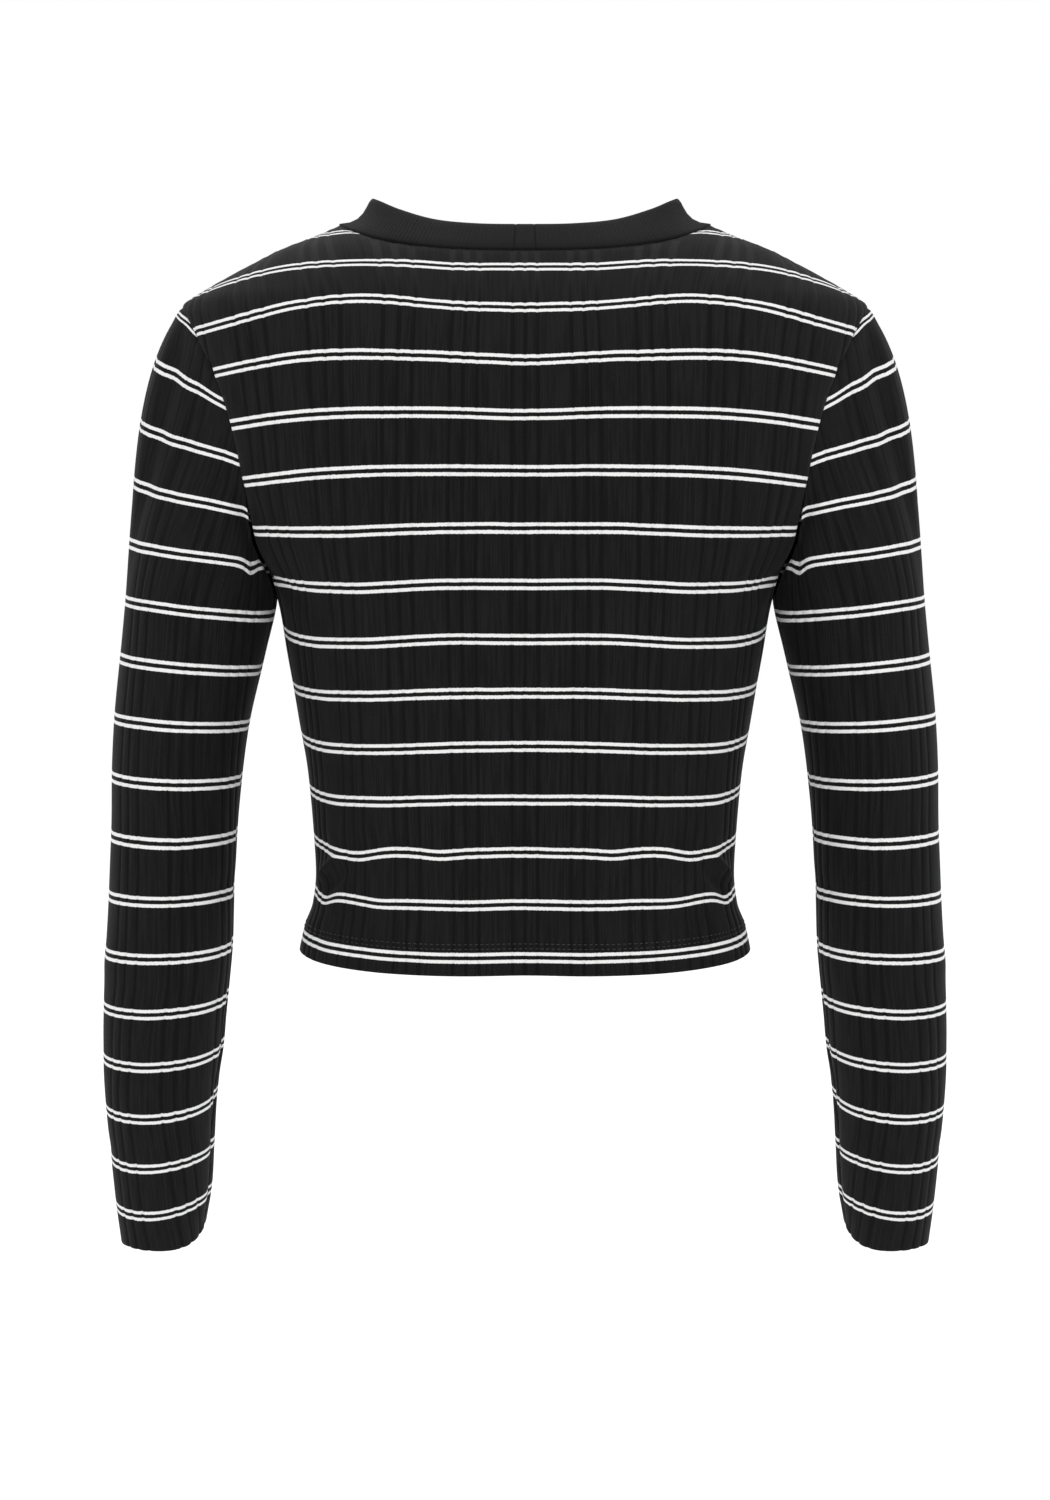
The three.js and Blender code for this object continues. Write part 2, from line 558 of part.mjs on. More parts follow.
// A point of the band u along the neck seam from the join, and at the share v of its height.
function wornBand(u, v) {
  const from = u <= BAND_HALF ? u : 2 * BAND_HALF - u;
  const want = Math.abs(from);
  let i = 0;
  while (i < BAND_STEPS - 1 && bandRun[i + 1] < want) i++;
  const k = LAST_ROW / BAND_STEPS * (i + (want - bandRun[i]) / (bandRun[i + 1] - bandRun[i]));
  const low = seamAt(k);
  const rise = bandTop.getPoint(k / LAST_ROW).sub(low);
  const start = BAND_GAP / rise.length();
  const p = low.addScaledVector(rise, start + (1 - start) * v);
  if (u > BAND_HALF || from < 0) p.x = -p.x;
  return p;
}
function bandGeometry() {
  const end = 2 * BAND_HALF - SEAM_GAP / 2;
  const columns = (count) => Array.from({ length: count + 1 }, (_, i) => SEAM_GAP / 2
    + (end - SEAM_GAP / 2) * i / count);
  const outer = columns(BAND_RIBS * 2);
  const pitch = outer[1] - outer[0];
  const rowAt = (v) => BAND_ROWS.find((row) => row.v === v);
  const cloth = flatCloth(outer, columns(48), BAND_ROWS.map((row) => row.v),
    (u, v) => rowAt(v).out - (Math.round((u - outer[0]) / pitch) % 2 ? BAND_RIB_DEPTH : 0),
    (u, v) => rowAt(v).inside);
  return wear(cloth, wornBand, -1, [], false);
}

const top = new THREE.Group();
top.add(piece('back_panel', bodyPanel(1)));
top.add(piece('front_panel', bodyPanel(-1)));
top.add(piece('sleeve_left', sleevePanel(false)));
top.add(piece('sleeve_right', sleevePanel(true)));
top.add(piece('neckband', bandGeometry()));

export default top;
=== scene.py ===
# Fitted long-sleeved crop top in black drop-needle rib knit with fine white double stripes, filled out as worn
# with nobody in it. Metres in Blender's frame; the pattern pieces are drawn in millimetres of flat cloth.
import math
import bmesh
import bpy
import numpy as np
from mathutils import Matrix, Vector


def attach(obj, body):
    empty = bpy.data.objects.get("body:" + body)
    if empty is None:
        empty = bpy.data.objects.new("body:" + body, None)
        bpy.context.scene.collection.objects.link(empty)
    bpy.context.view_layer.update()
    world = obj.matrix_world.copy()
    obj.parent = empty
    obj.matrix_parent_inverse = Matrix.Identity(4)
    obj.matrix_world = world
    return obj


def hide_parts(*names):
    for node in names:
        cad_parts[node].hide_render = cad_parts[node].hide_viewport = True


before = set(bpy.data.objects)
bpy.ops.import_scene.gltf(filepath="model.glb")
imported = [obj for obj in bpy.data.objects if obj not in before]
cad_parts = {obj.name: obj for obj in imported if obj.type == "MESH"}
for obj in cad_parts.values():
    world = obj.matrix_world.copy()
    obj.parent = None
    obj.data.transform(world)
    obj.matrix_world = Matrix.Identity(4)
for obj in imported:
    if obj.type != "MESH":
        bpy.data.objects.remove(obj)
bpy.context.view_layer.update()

# ---------------------------------------------------------------------------------------------------------------
# BACK PANEL. One cut piece of fine rib knit from the neck and shoulders down to the hem, held out by the body it
# was made for. Its lower edge is turned up inside and sewn; its sides, armholes and shoulders are overlocked to
# the front and the sleeves. The cloth is cut flat, ribbed, then worn: each point goes to its place on the form.
CLOTH = 1.4
HEM_WALL = 2.3
HEM_DEPTH = 18.0
HEM_FOOT = -2.8
HEM_NEEDLES = (14.5, 17.5)
NEEDLE_DIP = 0.35
NEEDLE_REACH = 1.1
SEAM_GAP = 0.2
SEAM_DIP = 0.8
SEAM_REACH = 1.9
SEAM_HOLD = 13.0
RIB_REPEAT = 33.4
RIB_PITCH = 7.2
RIB_DEPTH = 0.62
RIB_REACH = 0.85
PAIR_DOME = 0.16
PLAIN_DOME = 0.12

# Level by level: height, half width, depth behind and before the side seams, and how far the cloth is stretched.
BODY = np.array([
    (-418, 131, 80, 85, 1.02), (-400, 127, 79.5, 84, 1.01), (-388, 122.5, 79, 83, 1), (-370, 120.5, 79.5, 83, 1),
    (-350, 121.5, 81.5, 85, 1), (-315, 124.5, 86, 92, 1.01), (-280, 130, 91.5, 103, 1.02),
    (-245, 136, 96.5, 112, 1.035), (-212, 142, 100, 116, 1.05), (-178, 167, 102, 110, 1.065),
    (-145, 184, 102.5, 99, 1.08), (-115, 191, 100, 88, 1.09), (-86, 196, 94.5, 76, 1.1),
    (-70, 198.5, 89.5, 70, 1.105), (-55, 198.5, 83, 64, 1.11), (-47, 195, 78.5, 61, 1.11),
    (-38, 181.5, 73, 57, 1.115), (-30, 167.5, 67, 53, 1.12), (-22, 152.5, 60, 48, 1.12), (-16, 141, 53, 44, 1.12),
    (-10, 126, 44, 38, 1.12), (-5, 114, 36, 32, 1.12), (0, 105, 27, 25, 1.12), (6, 94, 18, 18, 1.12)])

# Course by course: height above the hem on the flat cloth, then its worn height from the middle to the side.
COURSES = np.array([
    (-9, -424.5, -425.5, -425.5, -423.5, -420), (9, -409, -410, -410, -408, -404.5),
    (42, -380, -381, -381, -380, -380), (75, -351, -352, -352.5, -354.5, -348),
    (108, -322, -322.5, -324.5, -325, -320), (141, -292.5, -293.5, -295.5, -295.5, -290.5),
    (174, -263.5, -264, -266, -266, -262), (207, -234.5, -234.5, -237, -236, -229),
    (240, -205, -205, -207, -205, -201), (273, -175, -175, -176.5, -175.5, -173),
    (306, -144.5, -144, -145, -149, -150), (339, -114.5, -113, -113, -117.5, -120),
    (372, -85, -82.5, -81, -87.5, -93), (405, -56, -54.5, -51, -62, -68), (438, -32.5, -32, -27.5, -33, -46),
    (471, -13, -12, -8, -7.5, -9), (490, 2, 3, 5, 6, 7)])

# The armhole seam: height, and how far round from the side of the body it lies, in degrees.
ARMHOLE = np.array([
    (-213, 0), (-207, 8.5), (-196, 17), (-180, 24.4), (-165, 28.6), (-150, 31), (-135, 31.8), (-120, 31.4),
    (-103, 30), (-88, 27.7), (-75, 25), (-64, 21), (-56, 17), (-50, 10), (-46.5, 0)])

# The neck seam and the top edge of the neckband, from the middle of the back over the shoulder to the front:
# panel (1 back, -1 front), seam x and z, then the top edge's x, y and z.
NECK = np.array([
    (1, 0, -22, 0, 44, -5.4), (1, 30, -21.3, 26, 41, -4.6), (1, 57, -18.6, 50, 33, -1.2), (1, 80, -13.5, 70, 22, 6),
    (1, 97, -6.5, 83, 9, 13.5), (1, 105.5, -0.6, 88, -4, 16.6), (-1, 105.5, -10, 87.5, -16, 12),
    (-1, 102, -22, 84, -30, 1), (-1, 94, -38, 76, -43, -15), (-1, 78, -55, 62, -54, -33),
    (-1, 56, -67, 43, -61, -46.5), (-1, 28, -74, 21, -65, -53.5), (-1, 0, -76, 0, -66.5, -55.5)])


def smooth(rows, column, x):
    """A table's column at x, on a cubic through its rows that never overshoots them."""
    k, y, x = rows[:, 0], rows[:, column], np.asarray(x, float)
    gap = np.diff(k)
    slope = np.diff(y) / gap
    lean = np.empty_like(y)
    lean[0], lean[-1] = slope[0], slope[-1]
    for i in range(1, len(y) - 1):
        if slope[i - 1] * slope[i] <= 0:
            lean[i] = 0
        else:
            a, b = 2 * gap[i] + gap[i - 1], gap[i] + 2 * gap[i - 1]
            lean[i] = (a + b) / (a / slope[i - 1] + b / slope[i])
    i = np.clip(np.searchsorted(k, x) - 1, 0, len(k) - 2)
    t = np.clip((x - k[i]) / gap[i], 0, 1)
    within = ((2 * t**3 - 3 * t**2 + 1) * y[i] + (t**3 - 2 * t**2 + t) * gap[i] * lean[i]
              + (3 * t**2 - 2 * t**3) * y[i + 1] + (t**3 - t**2) * gap[i] * lean[i + 1])
    return within + np.minimum(x - k[0], 0) * lean[0] + np.maximum(x - k[-1], 0) * lean[-1]


def body_level(z, face):
    """The body's half width and depth at a height, and half the flat width of the panel that covers it."""
    half, back, stretch = smooth(BODY, 1, z), smooth(BODY, 2, z), smooth(BODY, 4, z)
    depth = back if face > 0 else smooth(BODY, 3, z)
    return half, depth, math.pi / 4 * (half + back) / stretch


def course_height(stations, w):
    """Worn height at the share w from the middle to the side, on the five heights of each point's course."""
    x = np.clip(np.abs(w), 0, 1) * 4
    i = np.clip(x.astype(int), 0, 3)
    t = x - i
    at = lambda k: np.take_along_axis(stations, np.clip(k, 0, 4)[None], 0)[0]
    before = np.where(i == 0, at(i + 1), at(i - 1))
    after = np.where(i == 3, 2 * at(i + 1) - at(i), at(i + 2))
    return 0.5 * (2 * at(i) + (at(i + 1) - before) * t + (2 * before - 5 * at(i) + 4 * at(i + 1) - after) * t * t
                  + (3 * at(i) - before - 3 * at(i + 1) + after) * t**3)


def course_stations(v):
    """The five worn heights of each flat point's course."""
    return np.stack([smooth(COURSES, i, v) for i in range(1, 6)])


def on_body(z, angle, face):
    """The point of the worn body at a height and at an angle round from the middle of a panel."""
    half, depth, _ = body_level(z, face)
    return np.stack([half * np.sin(angle), face * depth * np.cos(angle), z + 0 * angle], -1)


def worn_body(u, v, face):
    """Where the point u across and v up a flat body panel is worn."""
    stations = course_stations(v)
    w = u / body_level(stations[2], face)[2]
    for _ in range(14):
        w = 0.5 * w + 0.5 * u / body_level(course_height(stations, w), face)[2]
    z = course_height(stations, w)
    half, depth, _ = body_level(z, face)
    turn = w * math.pi / 2
    return on_body(z, turn - (half - depth) / (half + depth) / 2 * np.sin(2 * turn), face)


def flat_body(z, angle, face):
    """The flat place of the worn point at a height and at an angle round from the middle."""
    z, angle = np.atleast_1d(z).astype(float), np.atleast_1d(angle).astype(float)
    half, depth, flat = body_level(z, face)
    e = (half - depth) / (half + depth)
    turn = angle.copy()
    for _ in range(30):
        turn -= (turn - e / 2 * np.sin(2 * turn) - angle) / (1 - e * np.cos(2 * turn))
    w = turn / (math.pi / 2)
    low, high = np.full(z.shape, -40.0), np.full(z.shape, 520.0)
    for _ in range(40):
        mid = (low + high) / 2
        above = course_height(course_stations(mid), w) > z
        high, low = np.where(above, mid, high), np.where(above, low, mid)
    return np.stack([w * flat, (low + high) / 2], -1)


def armhole_line(face):
    """Heights and angles down the armhole seam by its worn length, from the shoulder (0) to the underarm (1)."""
    z = np.linspace(ARMHOLE[-1, 0], ARMHOLE[0, 0], 241)
    angle = math.pi / 2 - np.radians(smooth(ARMHOLE, 1, z))
    run = np.append(0, np.cumsum(np.linalg.norm(np.diff(on_body(z, angle, face), axis=0), axis=1)))
    return run / run[-1], z, angle


ARMHOLE_RUN = {1: armhole_line(1), -1: armhole_line(-1)}


def through(places, steps):
    """A smooth line through a few places, as that many points."""
    places = np.asarray(places, float)
    x = np.linspace(0, len(places) - 1, steps)
    i = np.minimum(x.astype(int), len(places) - 2)
    t = (x - i)[:, None]
    at = lambda k: places[np.clip(k, 0, len(places) - 1)]
    p0, p1, p2, p3 = at(i - 1), at(i), at(i + 1), at(i + 2)
    v0, v1 = (p2 - p0) / 2, (p3 - p1) / 2
    return (2 * p1 - 2 * p2 + v0 + v1) * t**3 + (-3 * p1 + 3 * p2 - 2 * v0 - v1) * t**2 + v0 * t + p1


def neck_line(face, steps):
    """The neck seam of one panel from its middle to the shoulder, as x and z."""
    places = NECK[NECK[:, 0] == face][:, 1:3]
    if face < 0:
        places = np.vstack([[105.5, -0.6], places])[::-1]
    return through(places, steps)


def body_pattern(face):
    """Right half of a body panel's cut edge: side seam, armhole, shoulder seam and neck, from the hem up."""
    side_v = np.array([-9, 14, 30, 45, 62, 85, 112, 140, 168, 196.0])
    side_z = course_height(course_stations(side_v), np.ones(10))
    side = np.stack([body_level(side_z, face)[2], side_v], -1)
    run, z, angle = ARMHOLE_RUN[face]
    share = np.linspace(1, 0.02, 44)
    hole = flat_body(np.interp(share, run, z), np.interp(share, run, angle), face)
    shoulder_z = np.array([ARMHOLE[-1, 0], -38, -30, -22, -15, -9, -4.0])
    shoulder = flat_body(shoulder_z, np.full(7, math.pi / 2), face)
    neck = neck_line(face, 22)[::-1]
    half = body_level(neck[:, 1], face)[0]
    neck = flat_body(neck[:, 1], np.arcsin(np.clip(neck[:, 0] / half, 0, 1)), face)
    return np.vstack([side, hole, shoulder, neck])


def rib_columns(reach):
    """Places across the cloth: close together over the grooves and the waist's folds, wide apart on plain knit."""
    repeat = []
    for groove in (-RIB_PITCH, 0, RIB_PITCH):
        repeat += [groove + step for step in (-1.5, -0.75, 0, 0.75, 1.5)]
    plain = RIB_PITCH + 1.5
    repeat += [-RIB_PITCH / 2, RIB_PITCH / 2]
    repeat += [plain + (RIB_REPEAT - 2 * plain) * k / 5 for k in (1, 2, 3, 4)]
    groups = math.ceil(reach / RIB_REPEAT)
    columns = [i * RIB_REPEAT + step for i in range(-groups, groups + 1) for step in repeat]
    for side in (-1, 1):
        columns += [side * (3 * RIB_REPEAT + plain + (RIB_REPEAT - 2 * plain) * k / 10) for k in (1, 3, 5, 7, 9)]
    return sorted(columns)


def placed(name, shape):
    """A finished bmesh as an object of the scene."""
    piece = bpy.data.objects.new(name, bpy.data.meshes.new(name))
    shape.to_mesh(piece.data)
    shape.free()
    bpy.context.scene.collection.objects.link(piece)
    return piece


def cut_cloth(columns, rows, pattern):
    """A flat piece of cloth with two faces, cut along the pattern that is drawn as its right half."""
    cloth = bmesh.new()
    bmesh.ops.create_grid(cloth, x_segments=len(columns) - 1, y_segments=len(rows) - 1, size=0.5)
    for vert in cloth.verts:
        i, j = round((vert.co.x + 0.5) * (len(columns) - 1)), round((vert.co.y + 0.5) * (len(rows) - 1))
        vert.co = (columns[i], rows[j], 0)
    grown = bmesh.ops.extrude_face_region(cloth, geom=cloth.faces[:], use_keep_orig=True)
    below = [v for v in grown["geom"] if isinstance(v, bmesh.types.BMVert)]
    bmesh.ops.translate(cloth, verts=below, vec=(0, 0, -1))
    bmesh.ops.recalc_face_normals(cloth, faces=cloth.faces)
    edge = pattern.copy()
    way = np.gradient(edge, axis=0)
    way /= np.linalg.norm(way, axis=1)[:, None]
    edge += np.stack([-way[:, 1], way[:, 0]], -1) * SEAM_GAP / 2
    edge = edge[edge[:, 0] > 0.01]
    outline = np.vstack([edge, edge[::-1] * (-1, 1)])
    cutter = bmesh.new()
    ring = [cutter.verts.new((x, y, -20)) for x, y in outline]
    base = cutter.faces.new(ring)
    top = bmesh.ops.extrude_face_region(cutter, geom=[base])
    above = [v for v in top["geom"] if isinstance(v, bmesh.types.BMVert)]
    bmesh.ops.translate(cutter, verts=above, vec=(0, 0, 40))
    bmesh.ops.recalc_face_normals(cutter, faces=cutter.faces)
    flat, shears = placed("flat_cloth", cloth), placed("shears", cutter)
    cut = flat.modifiers.new("cut", "BOOLEAN")
    cut.operation, cut.solver, cut.object = "INTERSECT", "MANIFOLD", shears
    mesh = bpy.data.meshes.new_from_object(flat.evaluated_get(bpy.context.evaluated_depsgraph_get()))
    for o in (flat, shears):
        bpy.data.objects.remove(o)
    x, y = outline.T
    area = 0.5 * abs(np.dot(x, np.roll(y, 1)) - np.dot(y, np.roll(x, 1)))
    return mesh, outline, area


def edge_distance(points, outline):
    """How far each flat point is from the cut edge."""
    nearest = np.full(len(points), 1e9)
    for a, b in zip(outline, np.roll(outline, -1, 0)):
        along = b - a
        t = np.clip(((points - a) @ along) / (along @ along), 0, 1)
        nearest = np.minimum(nearest, np.linalg.norm(points - a - t[:, None] * along, axis=1))
    return nearest


def creased(creases, u, v):
    """How far soft creases lift the cloth. Each has its place u, v, its direction in degrees, its length, width
    and rise, and how far it bows."""
    rise = 0 * u
    for cu, cv, run, length, width, high, bow in creases:
        c, s = math.cos(math.radians(run)), math.sin(math.radians(run))
        along = ((u - cu) * c + (v - cv) * s) / (length / 2)
        across = (v - cv) * c - (u - cu) * s - bow * along**2
        rise += high * np.clip(1 - along**2, 0, 1)**2 * np.exp(-(across / width)**2)
    return rise


def ribbed(u, v):
    """Relief of the rib: three round-bottomed grooves to a repeat, shallower where the shoulders stretch them out,
    with the cloth between them a little domed."""
    near = np.abs(u - np.round(u / RIB_REPEAT) * RIB_REPEAT)
    groove = np.minimum(near, np.abs(near - RIB_PITCH))
    pair = PAIR_DOME * np.clip(1 - (np.abs(near - RIB_PITCH / 2) / (RIB_PITCH / 2 - 1))**2, 0, 1)
    plain = PLAIN_DOME * np.clip(1 - ((near - RIB_REPEAT / 2) / (RIB_REPEAT / 2 - RIB_PITCH))**2, 0, 1)
    depth = RIB_DEPTH * (1 - 0.55 * np.clip((v - 380) / 60, 0, 1))
    return np.where(near < RIB_PITCH, pair, plain) - depth * np.exp(-(groove / RIB_REACH)**2)


def slipped(slips, u, v, held):
    """How far the cloth is dragged up or down in its own surface. Each slip has its place u, v, its reach across
    and up, its drag, and 1 where a seam holds it. held is 0 at a seam and 1 away from it."""
    return sum(drag * np.exp(-((u - su) / reach)**2 - ((v - sv) / up)**2) * (1 - grip * (1 - held))
               for su, sv, reach, up, drag, grip in slips)


def on_form(form, outward, u, v):
    """Where flat places are worn, the way across the cloth there, and the way out of it."""
    step = 0.4
    across = form(u + step, v) - form(u - step, v)
    up = form(u, v + step) - form(u, v - step)
    out = np.cross(across, up) * outward
    return (form(u, v), across / np.linalg.norm(across, axis=1)[:, None],
            out / np.linalg.norm(out, axis=1)[:, None])


def wear(name, mesh, outline, form, outward, creases, slips, lower_edge):
    """The cut cloth bent to its worn shape, with its ribs, rounded fold at the lower edge, seams and creases.
    Its material reads two things from it: the flat place, and how much the cloth is drawn out lengthwise."""
    count = len(mesh.vertices)
    flat = np.empty(count * 3)
    mesh.vertices.foreach_get("co", flat)
    flat = flat.reshape(-1, 3)
    u, v, inside = flat[:, 0], flat[:, 1], flat[:, 2] < -0.5
    foot, lower_wall, lower_depth, needles = lower_edge
    fold = lower_wall / 2
    rounding = fold - np.sqrt(np.clip(fold**2 - np.clip(fold - (v - foot), 0, fold)**2, 0, None))
    from_edge = edge_distance(flat[:, :2], outline)
    seam = np.exp(-(from_edge / SEAM_REACH)**2) * (v > 4)
    held = np.clip(from_edge / SEAM_HOLD, 0, 1)
    sewn = sum(np.exp(-((v - row) / NEEDLE_REACH)**2) for row in needles)
    turned = np.clip(lower_depth + 0.5 - v, 0, 1)
    outer = ribbed(u, v) - rounding - SEAM_DIP * seam - NEEDLE_DIP * sewn
    inner = -CLOTH - (lower_wall - CLOTH) * turned + rounding
    slid = lambda at: at + slipped(slips, u, at, held)
    lift = np.where(inside, inner, outer) + creased(creases, u, slid(v))
    point, _, out = on_form(form, outward, u, slid(v))
    drawn_up = np.linalg.norm(form(u, slid(v + 0.4)) - form(u, slid(v - 0.4)), axis=1) / 0.8
    worn = (point + out * lift[:, None]) * 0.001
    mesh.vertices.foreach_set("co", worn.ravel())
    corner = np.empty(len(mesh.loops), int)
    mesh.loops.foreach_get("vertex_index", corner)
    layer = mesh.uv_layers.new(name="flat")
    layer.data.foreach_set("uv", (flat[corner, :2] * 0.001).ravel())
    mesh.attributes.new("gauge", "FLOAT", "POINT").data.foreach_set("value", drawn_up)
    mesh.update()
    mesh.name = name
    mesh.materials.clear()
    piece = bpy.data.objects.new(name, mesh)
    bpy.context.scene.collection.objects.link(piece)
    tidy = bmesh.new()
    tidy.from_mesh(mesh)
    bmesh.ops.recalc_face_normals(tidy, faces=tidy.faces)
    for f in tidy.faces:
        f.smooth = True
    tidy.to_mesh(mesh)
    tidy.free()
    return piece


class Yarn:
    """One output of a finish's nodes. Sums on it add the Math nodes that work them out."""

    def __init__(self, nodes, socket=None):
        self.nodes, self.socket = nodes, socket

    def add(self, kind, settings=None, sockets=None, out=0):
        node = self.nodes.new(kind)
        for key, value in (settings or {}).items():
            if key == "stops":
                for stop, (place, colour) in zip(list(node.color_ramp.elements), value):
                    stop.position, stop.color = place, colour
            else:
                setattr(node, key, value)
        for key, value in (sockets or {}).items():
            if isinstance(value, Yarn):
                node.id_data.links.new(value.socket, node.inputs[key])
            else:
                node.inputs[key].default_value = value
        return Yarn(self.nodes, node.outputs[out])

    def beside(self, out):
        """Another output of the same node."""
        return Yarn(self.nodes, self.socket.node.outputs[out])

    def math(self, operation, *others):
        return self.add("ShaderNodeMath", {"operation": operation}, dict(enumerate((self, *others))))

    def __add__(self, other): return self.math("ADD", other)
    def __radd__(self, other): return self.math("ADD", other)
    def __sub__(self, other): return self.math("SUBTRACT", other)
    def __rsub__(self, other): return (self * -1).math("ADD", other)
    def __mul__(self, other): return self.math("MULTIPLY", other)
    def __rmul__(self, other): return self.math("MULTIPLY", other)
    def __abs__(self): return self.math("ABSOLUTE")

    def fade(self, start, end, low=1.0, high=0.0):
        """low up to start, high from end on, and a soft step between them."""
        return self.add("ShaderNodeMapRange", {"interpolation_type": "SMOOTHSTEP"},
                        {"Value": self, "From Min": start, "From Max": end, "To Min": low, "To Max": high})


def new_finish(name):
    """A material, its shader, and what its other nodes are added from."""
    finish = bpy.data.materials.new(name)
    finish.use_nodes = True
    return finish, finish.node_tree.nodes["Principled BSDF"], Yarn(finish.node_tree.nodes)


def feed(shader, colour, rough, bump):
    """Links what varies over the cloth to the shader."""
    for key, value in (("Base Color", colour), ("Roughness", rough), ("Normal", bump)):
        shader.id_data.links.new(value.socket, shader.inputs[key])


# The lighter black stands for yarn tone that varies at random and for painted light; the shaded white is the stripe
# in painted shade.
BLACK_YARN = (0.0028, 0.0028, 0.0030, 1)
WORN_AND_LIT_BLACK = (0.0085, 0.0085, 0.0088, 1)
THIN_BLACK = (0.026, 0.026, 0.027, 1)
WHITE_YARN = (0.785, 0.785, 0.78, 1)
SHADED_WHITE = (0.44, 0.44, 0.44, 1)
STRIPE_REPEAT = 33.0
STRIPE_OFFSET = 2.0
STRIPE_HALF = (0.77, 1.07)


def striped_knit(name, first_pair, thin_grooves_and_painted_light_from, drawn_up):
    """Black rib knit with off-white pinstripes in pairs. first_pair is a pair's height on the flat cloth; from the
    height given third up, the grooves look thin and greyer and the cloth is painted lighter as light falling from
    above; drawn_up shifts the stripes on the sleeve's cap. The grooves are painted darker as shade."""
    finish, shader, start = new_finish(name)
    flat = start.add("ShaderNodeUVMap", {"uv_map": "flat"})
    parts = start.add("ShaderNodeSeparateXYZ", {}, {0: flat})
    u = parts * 1000
    v = parts.beside(1) * 1000
    v = v - v.fade(522, 546, 0.0, drawn_up)
    place = start.add("ShaderNodeVectorMath", {"operation": "SCALE"}, {0: flat, "Scale": 1000.0})
    drawn = start.add("ShaderNodeVectorMath", {"operation": "MULTIPLY"}, {0: place, 1: (0.62, 0.03, 1.0)})
    loops, drift, streaks = (
        start.add("ShaderNodeTexNoise", {"noise_dimensions": "2D"}, {"Vector": at, "Scale": size, "Detail": detail})
        for at, size, detail in ((place, 0.9, 2.0), (place, 0.045, 1.0), (drawn, 1.0, 2.0)))
    near = u.math("PINGPONG", RIB_REPEAT / 2)
    groove = near.math("MINIMUM", abs(near - RIB_PITCH))
    # Painted shade: the rib's grooves are painted darker, in the black cloth and in the white stripes.
    groove_painted_shade = groove.fade(0.35, 1.5)
    wale = u.math("PINGPONG", 0.78) * 1.28
    loop = u.math("PINGPONG", 0.39) * 2.56
    course = (v + loop * 0.4).math("PINGPONG", 0.42) * 2.38
    stitch = wale * 0.55 + course * 0.45
    ragged = v + (loops - 0.5) * 0.55 + loop * 0.14 + (drift - 0.5) * 0.5
    from_pair = (ragged - first_pair).math("PINGPONG", STRIPE_REPEAT / 2)
    gauge = start.add("ShaderNodeAttribute", {"attribute_name": "gauge"}, out=2)
    gauge = (gauge * 0.4 + 0.52).math("MAXIMUM", gauge * 0.9 - 0.05)
    white = abs(from_pair * gauge - STRIPE_OFFSET).fade(*STRIPE_HALF)
    # shade runs from the darkest black to the lighter one: random yarn tone, less in the painted shade of the
    # grooves.
    shade = stitch * 0.5 + (loops - 0.5) * 0.8 + (drift - 0.5) * 0.5 + (streaks - 0.5) * 2.0 + 0.24 - groove_painted_shade * 0.9
    # Painted light: the cloth is painted lighter from the given height up, as light falling from above on the
    # shoulders.
    shade = shade + v.fade(thin_grooves_and_painted_light_from - 60, thin_grooves_and_painted_light_from + 50, 0.0, 0.42)
    black = start.add("ShaderNodeMix", {"data_type": "RGBA", "clamp_factor": True},
                      {"Factor": shade, 6: BLACK_YARN, 7: WORN_AND_LIT_BLACK}, out=2)
    wide_groove = (groove + (loops - 0.5) * 1.4 + (streaks - 0.5) * 2.0).fade(0.5, 2.5)
    thin = wide_groove * v.fade(thin_grooves_and_painted_light_from, thin_grooves_and_painted_light_from + 50, 0.0, 0.5) * (0.5 + drift)
    black = start.add("ShaderNodeMix", {"data_type": "RGBA"}, {"Factor": thin, 6: black, 7: THIN_BLACK}, out=2)
    # The white stripes are painted shaded in the grooves (painted shade) and darker between the loops.
    pale = start.add("ShaderNodeMix", {"data_type": "RGBA", "clamp_factor": True},
                     {"Factor": groove_painted_shade * 0.16 + (1 - stitch) * 0.2, 6: WHITE_YARN, 7: SHADED_WHITE}, out=2)
    colour = start.add("ShaderNodeMix", {"data_type": "RGBA"}, {"Factor": white, 6: black, 7: pale}, out=2)
    height = stitch * 0.16 + loops * 0.12 + white * 0.1
    bump = start.add("ShaderNodeBump", {}, {"Strength": 0.55, "Distance": 0.001, "Height": height})
    feed(shader, colour, 0.88 - stitch * 0.08 + (drift - 0.5) * 0.1, bump)
    shader.inputs["Specular IOR Level"].default_value = 0.12
    shader.inputs["Sheen Weight"].default_value = 0.03
    shader.inputs["Sheen Roughness"].default_value = 0.45
    shader.inputs["Sheen Tint"].default_value = (0.8, 0.82, 0.9, 1)
    return finish


BODY_KNIT = striped_knit("striped_rib_body", 9.0, 400.0, 0.0)

hem_rows = [HEM_FOOT + k for k in (0, 0.3, 0.75, 1.2, 3, 5.5, 8, 10.5, 12.8)]
hem_rows += [12.6, 13.6, 14.5, 15.4, 16.6, 17.5, 18.4, 19.6, 21.4]
BODY_ROWS = hem_rows + [21.4 + 3.2 * k for k in range(1, 6)] + [39.4 + 2 * k for k in range(1, 24)]
BODY_ROWS += [85.4 + 3.4 * k for k in range(1, 124)]
HEM_EDGE = (HEM_FOOT, HEM_WALL, HEM_DEPTH, HEM_NEEDLES)

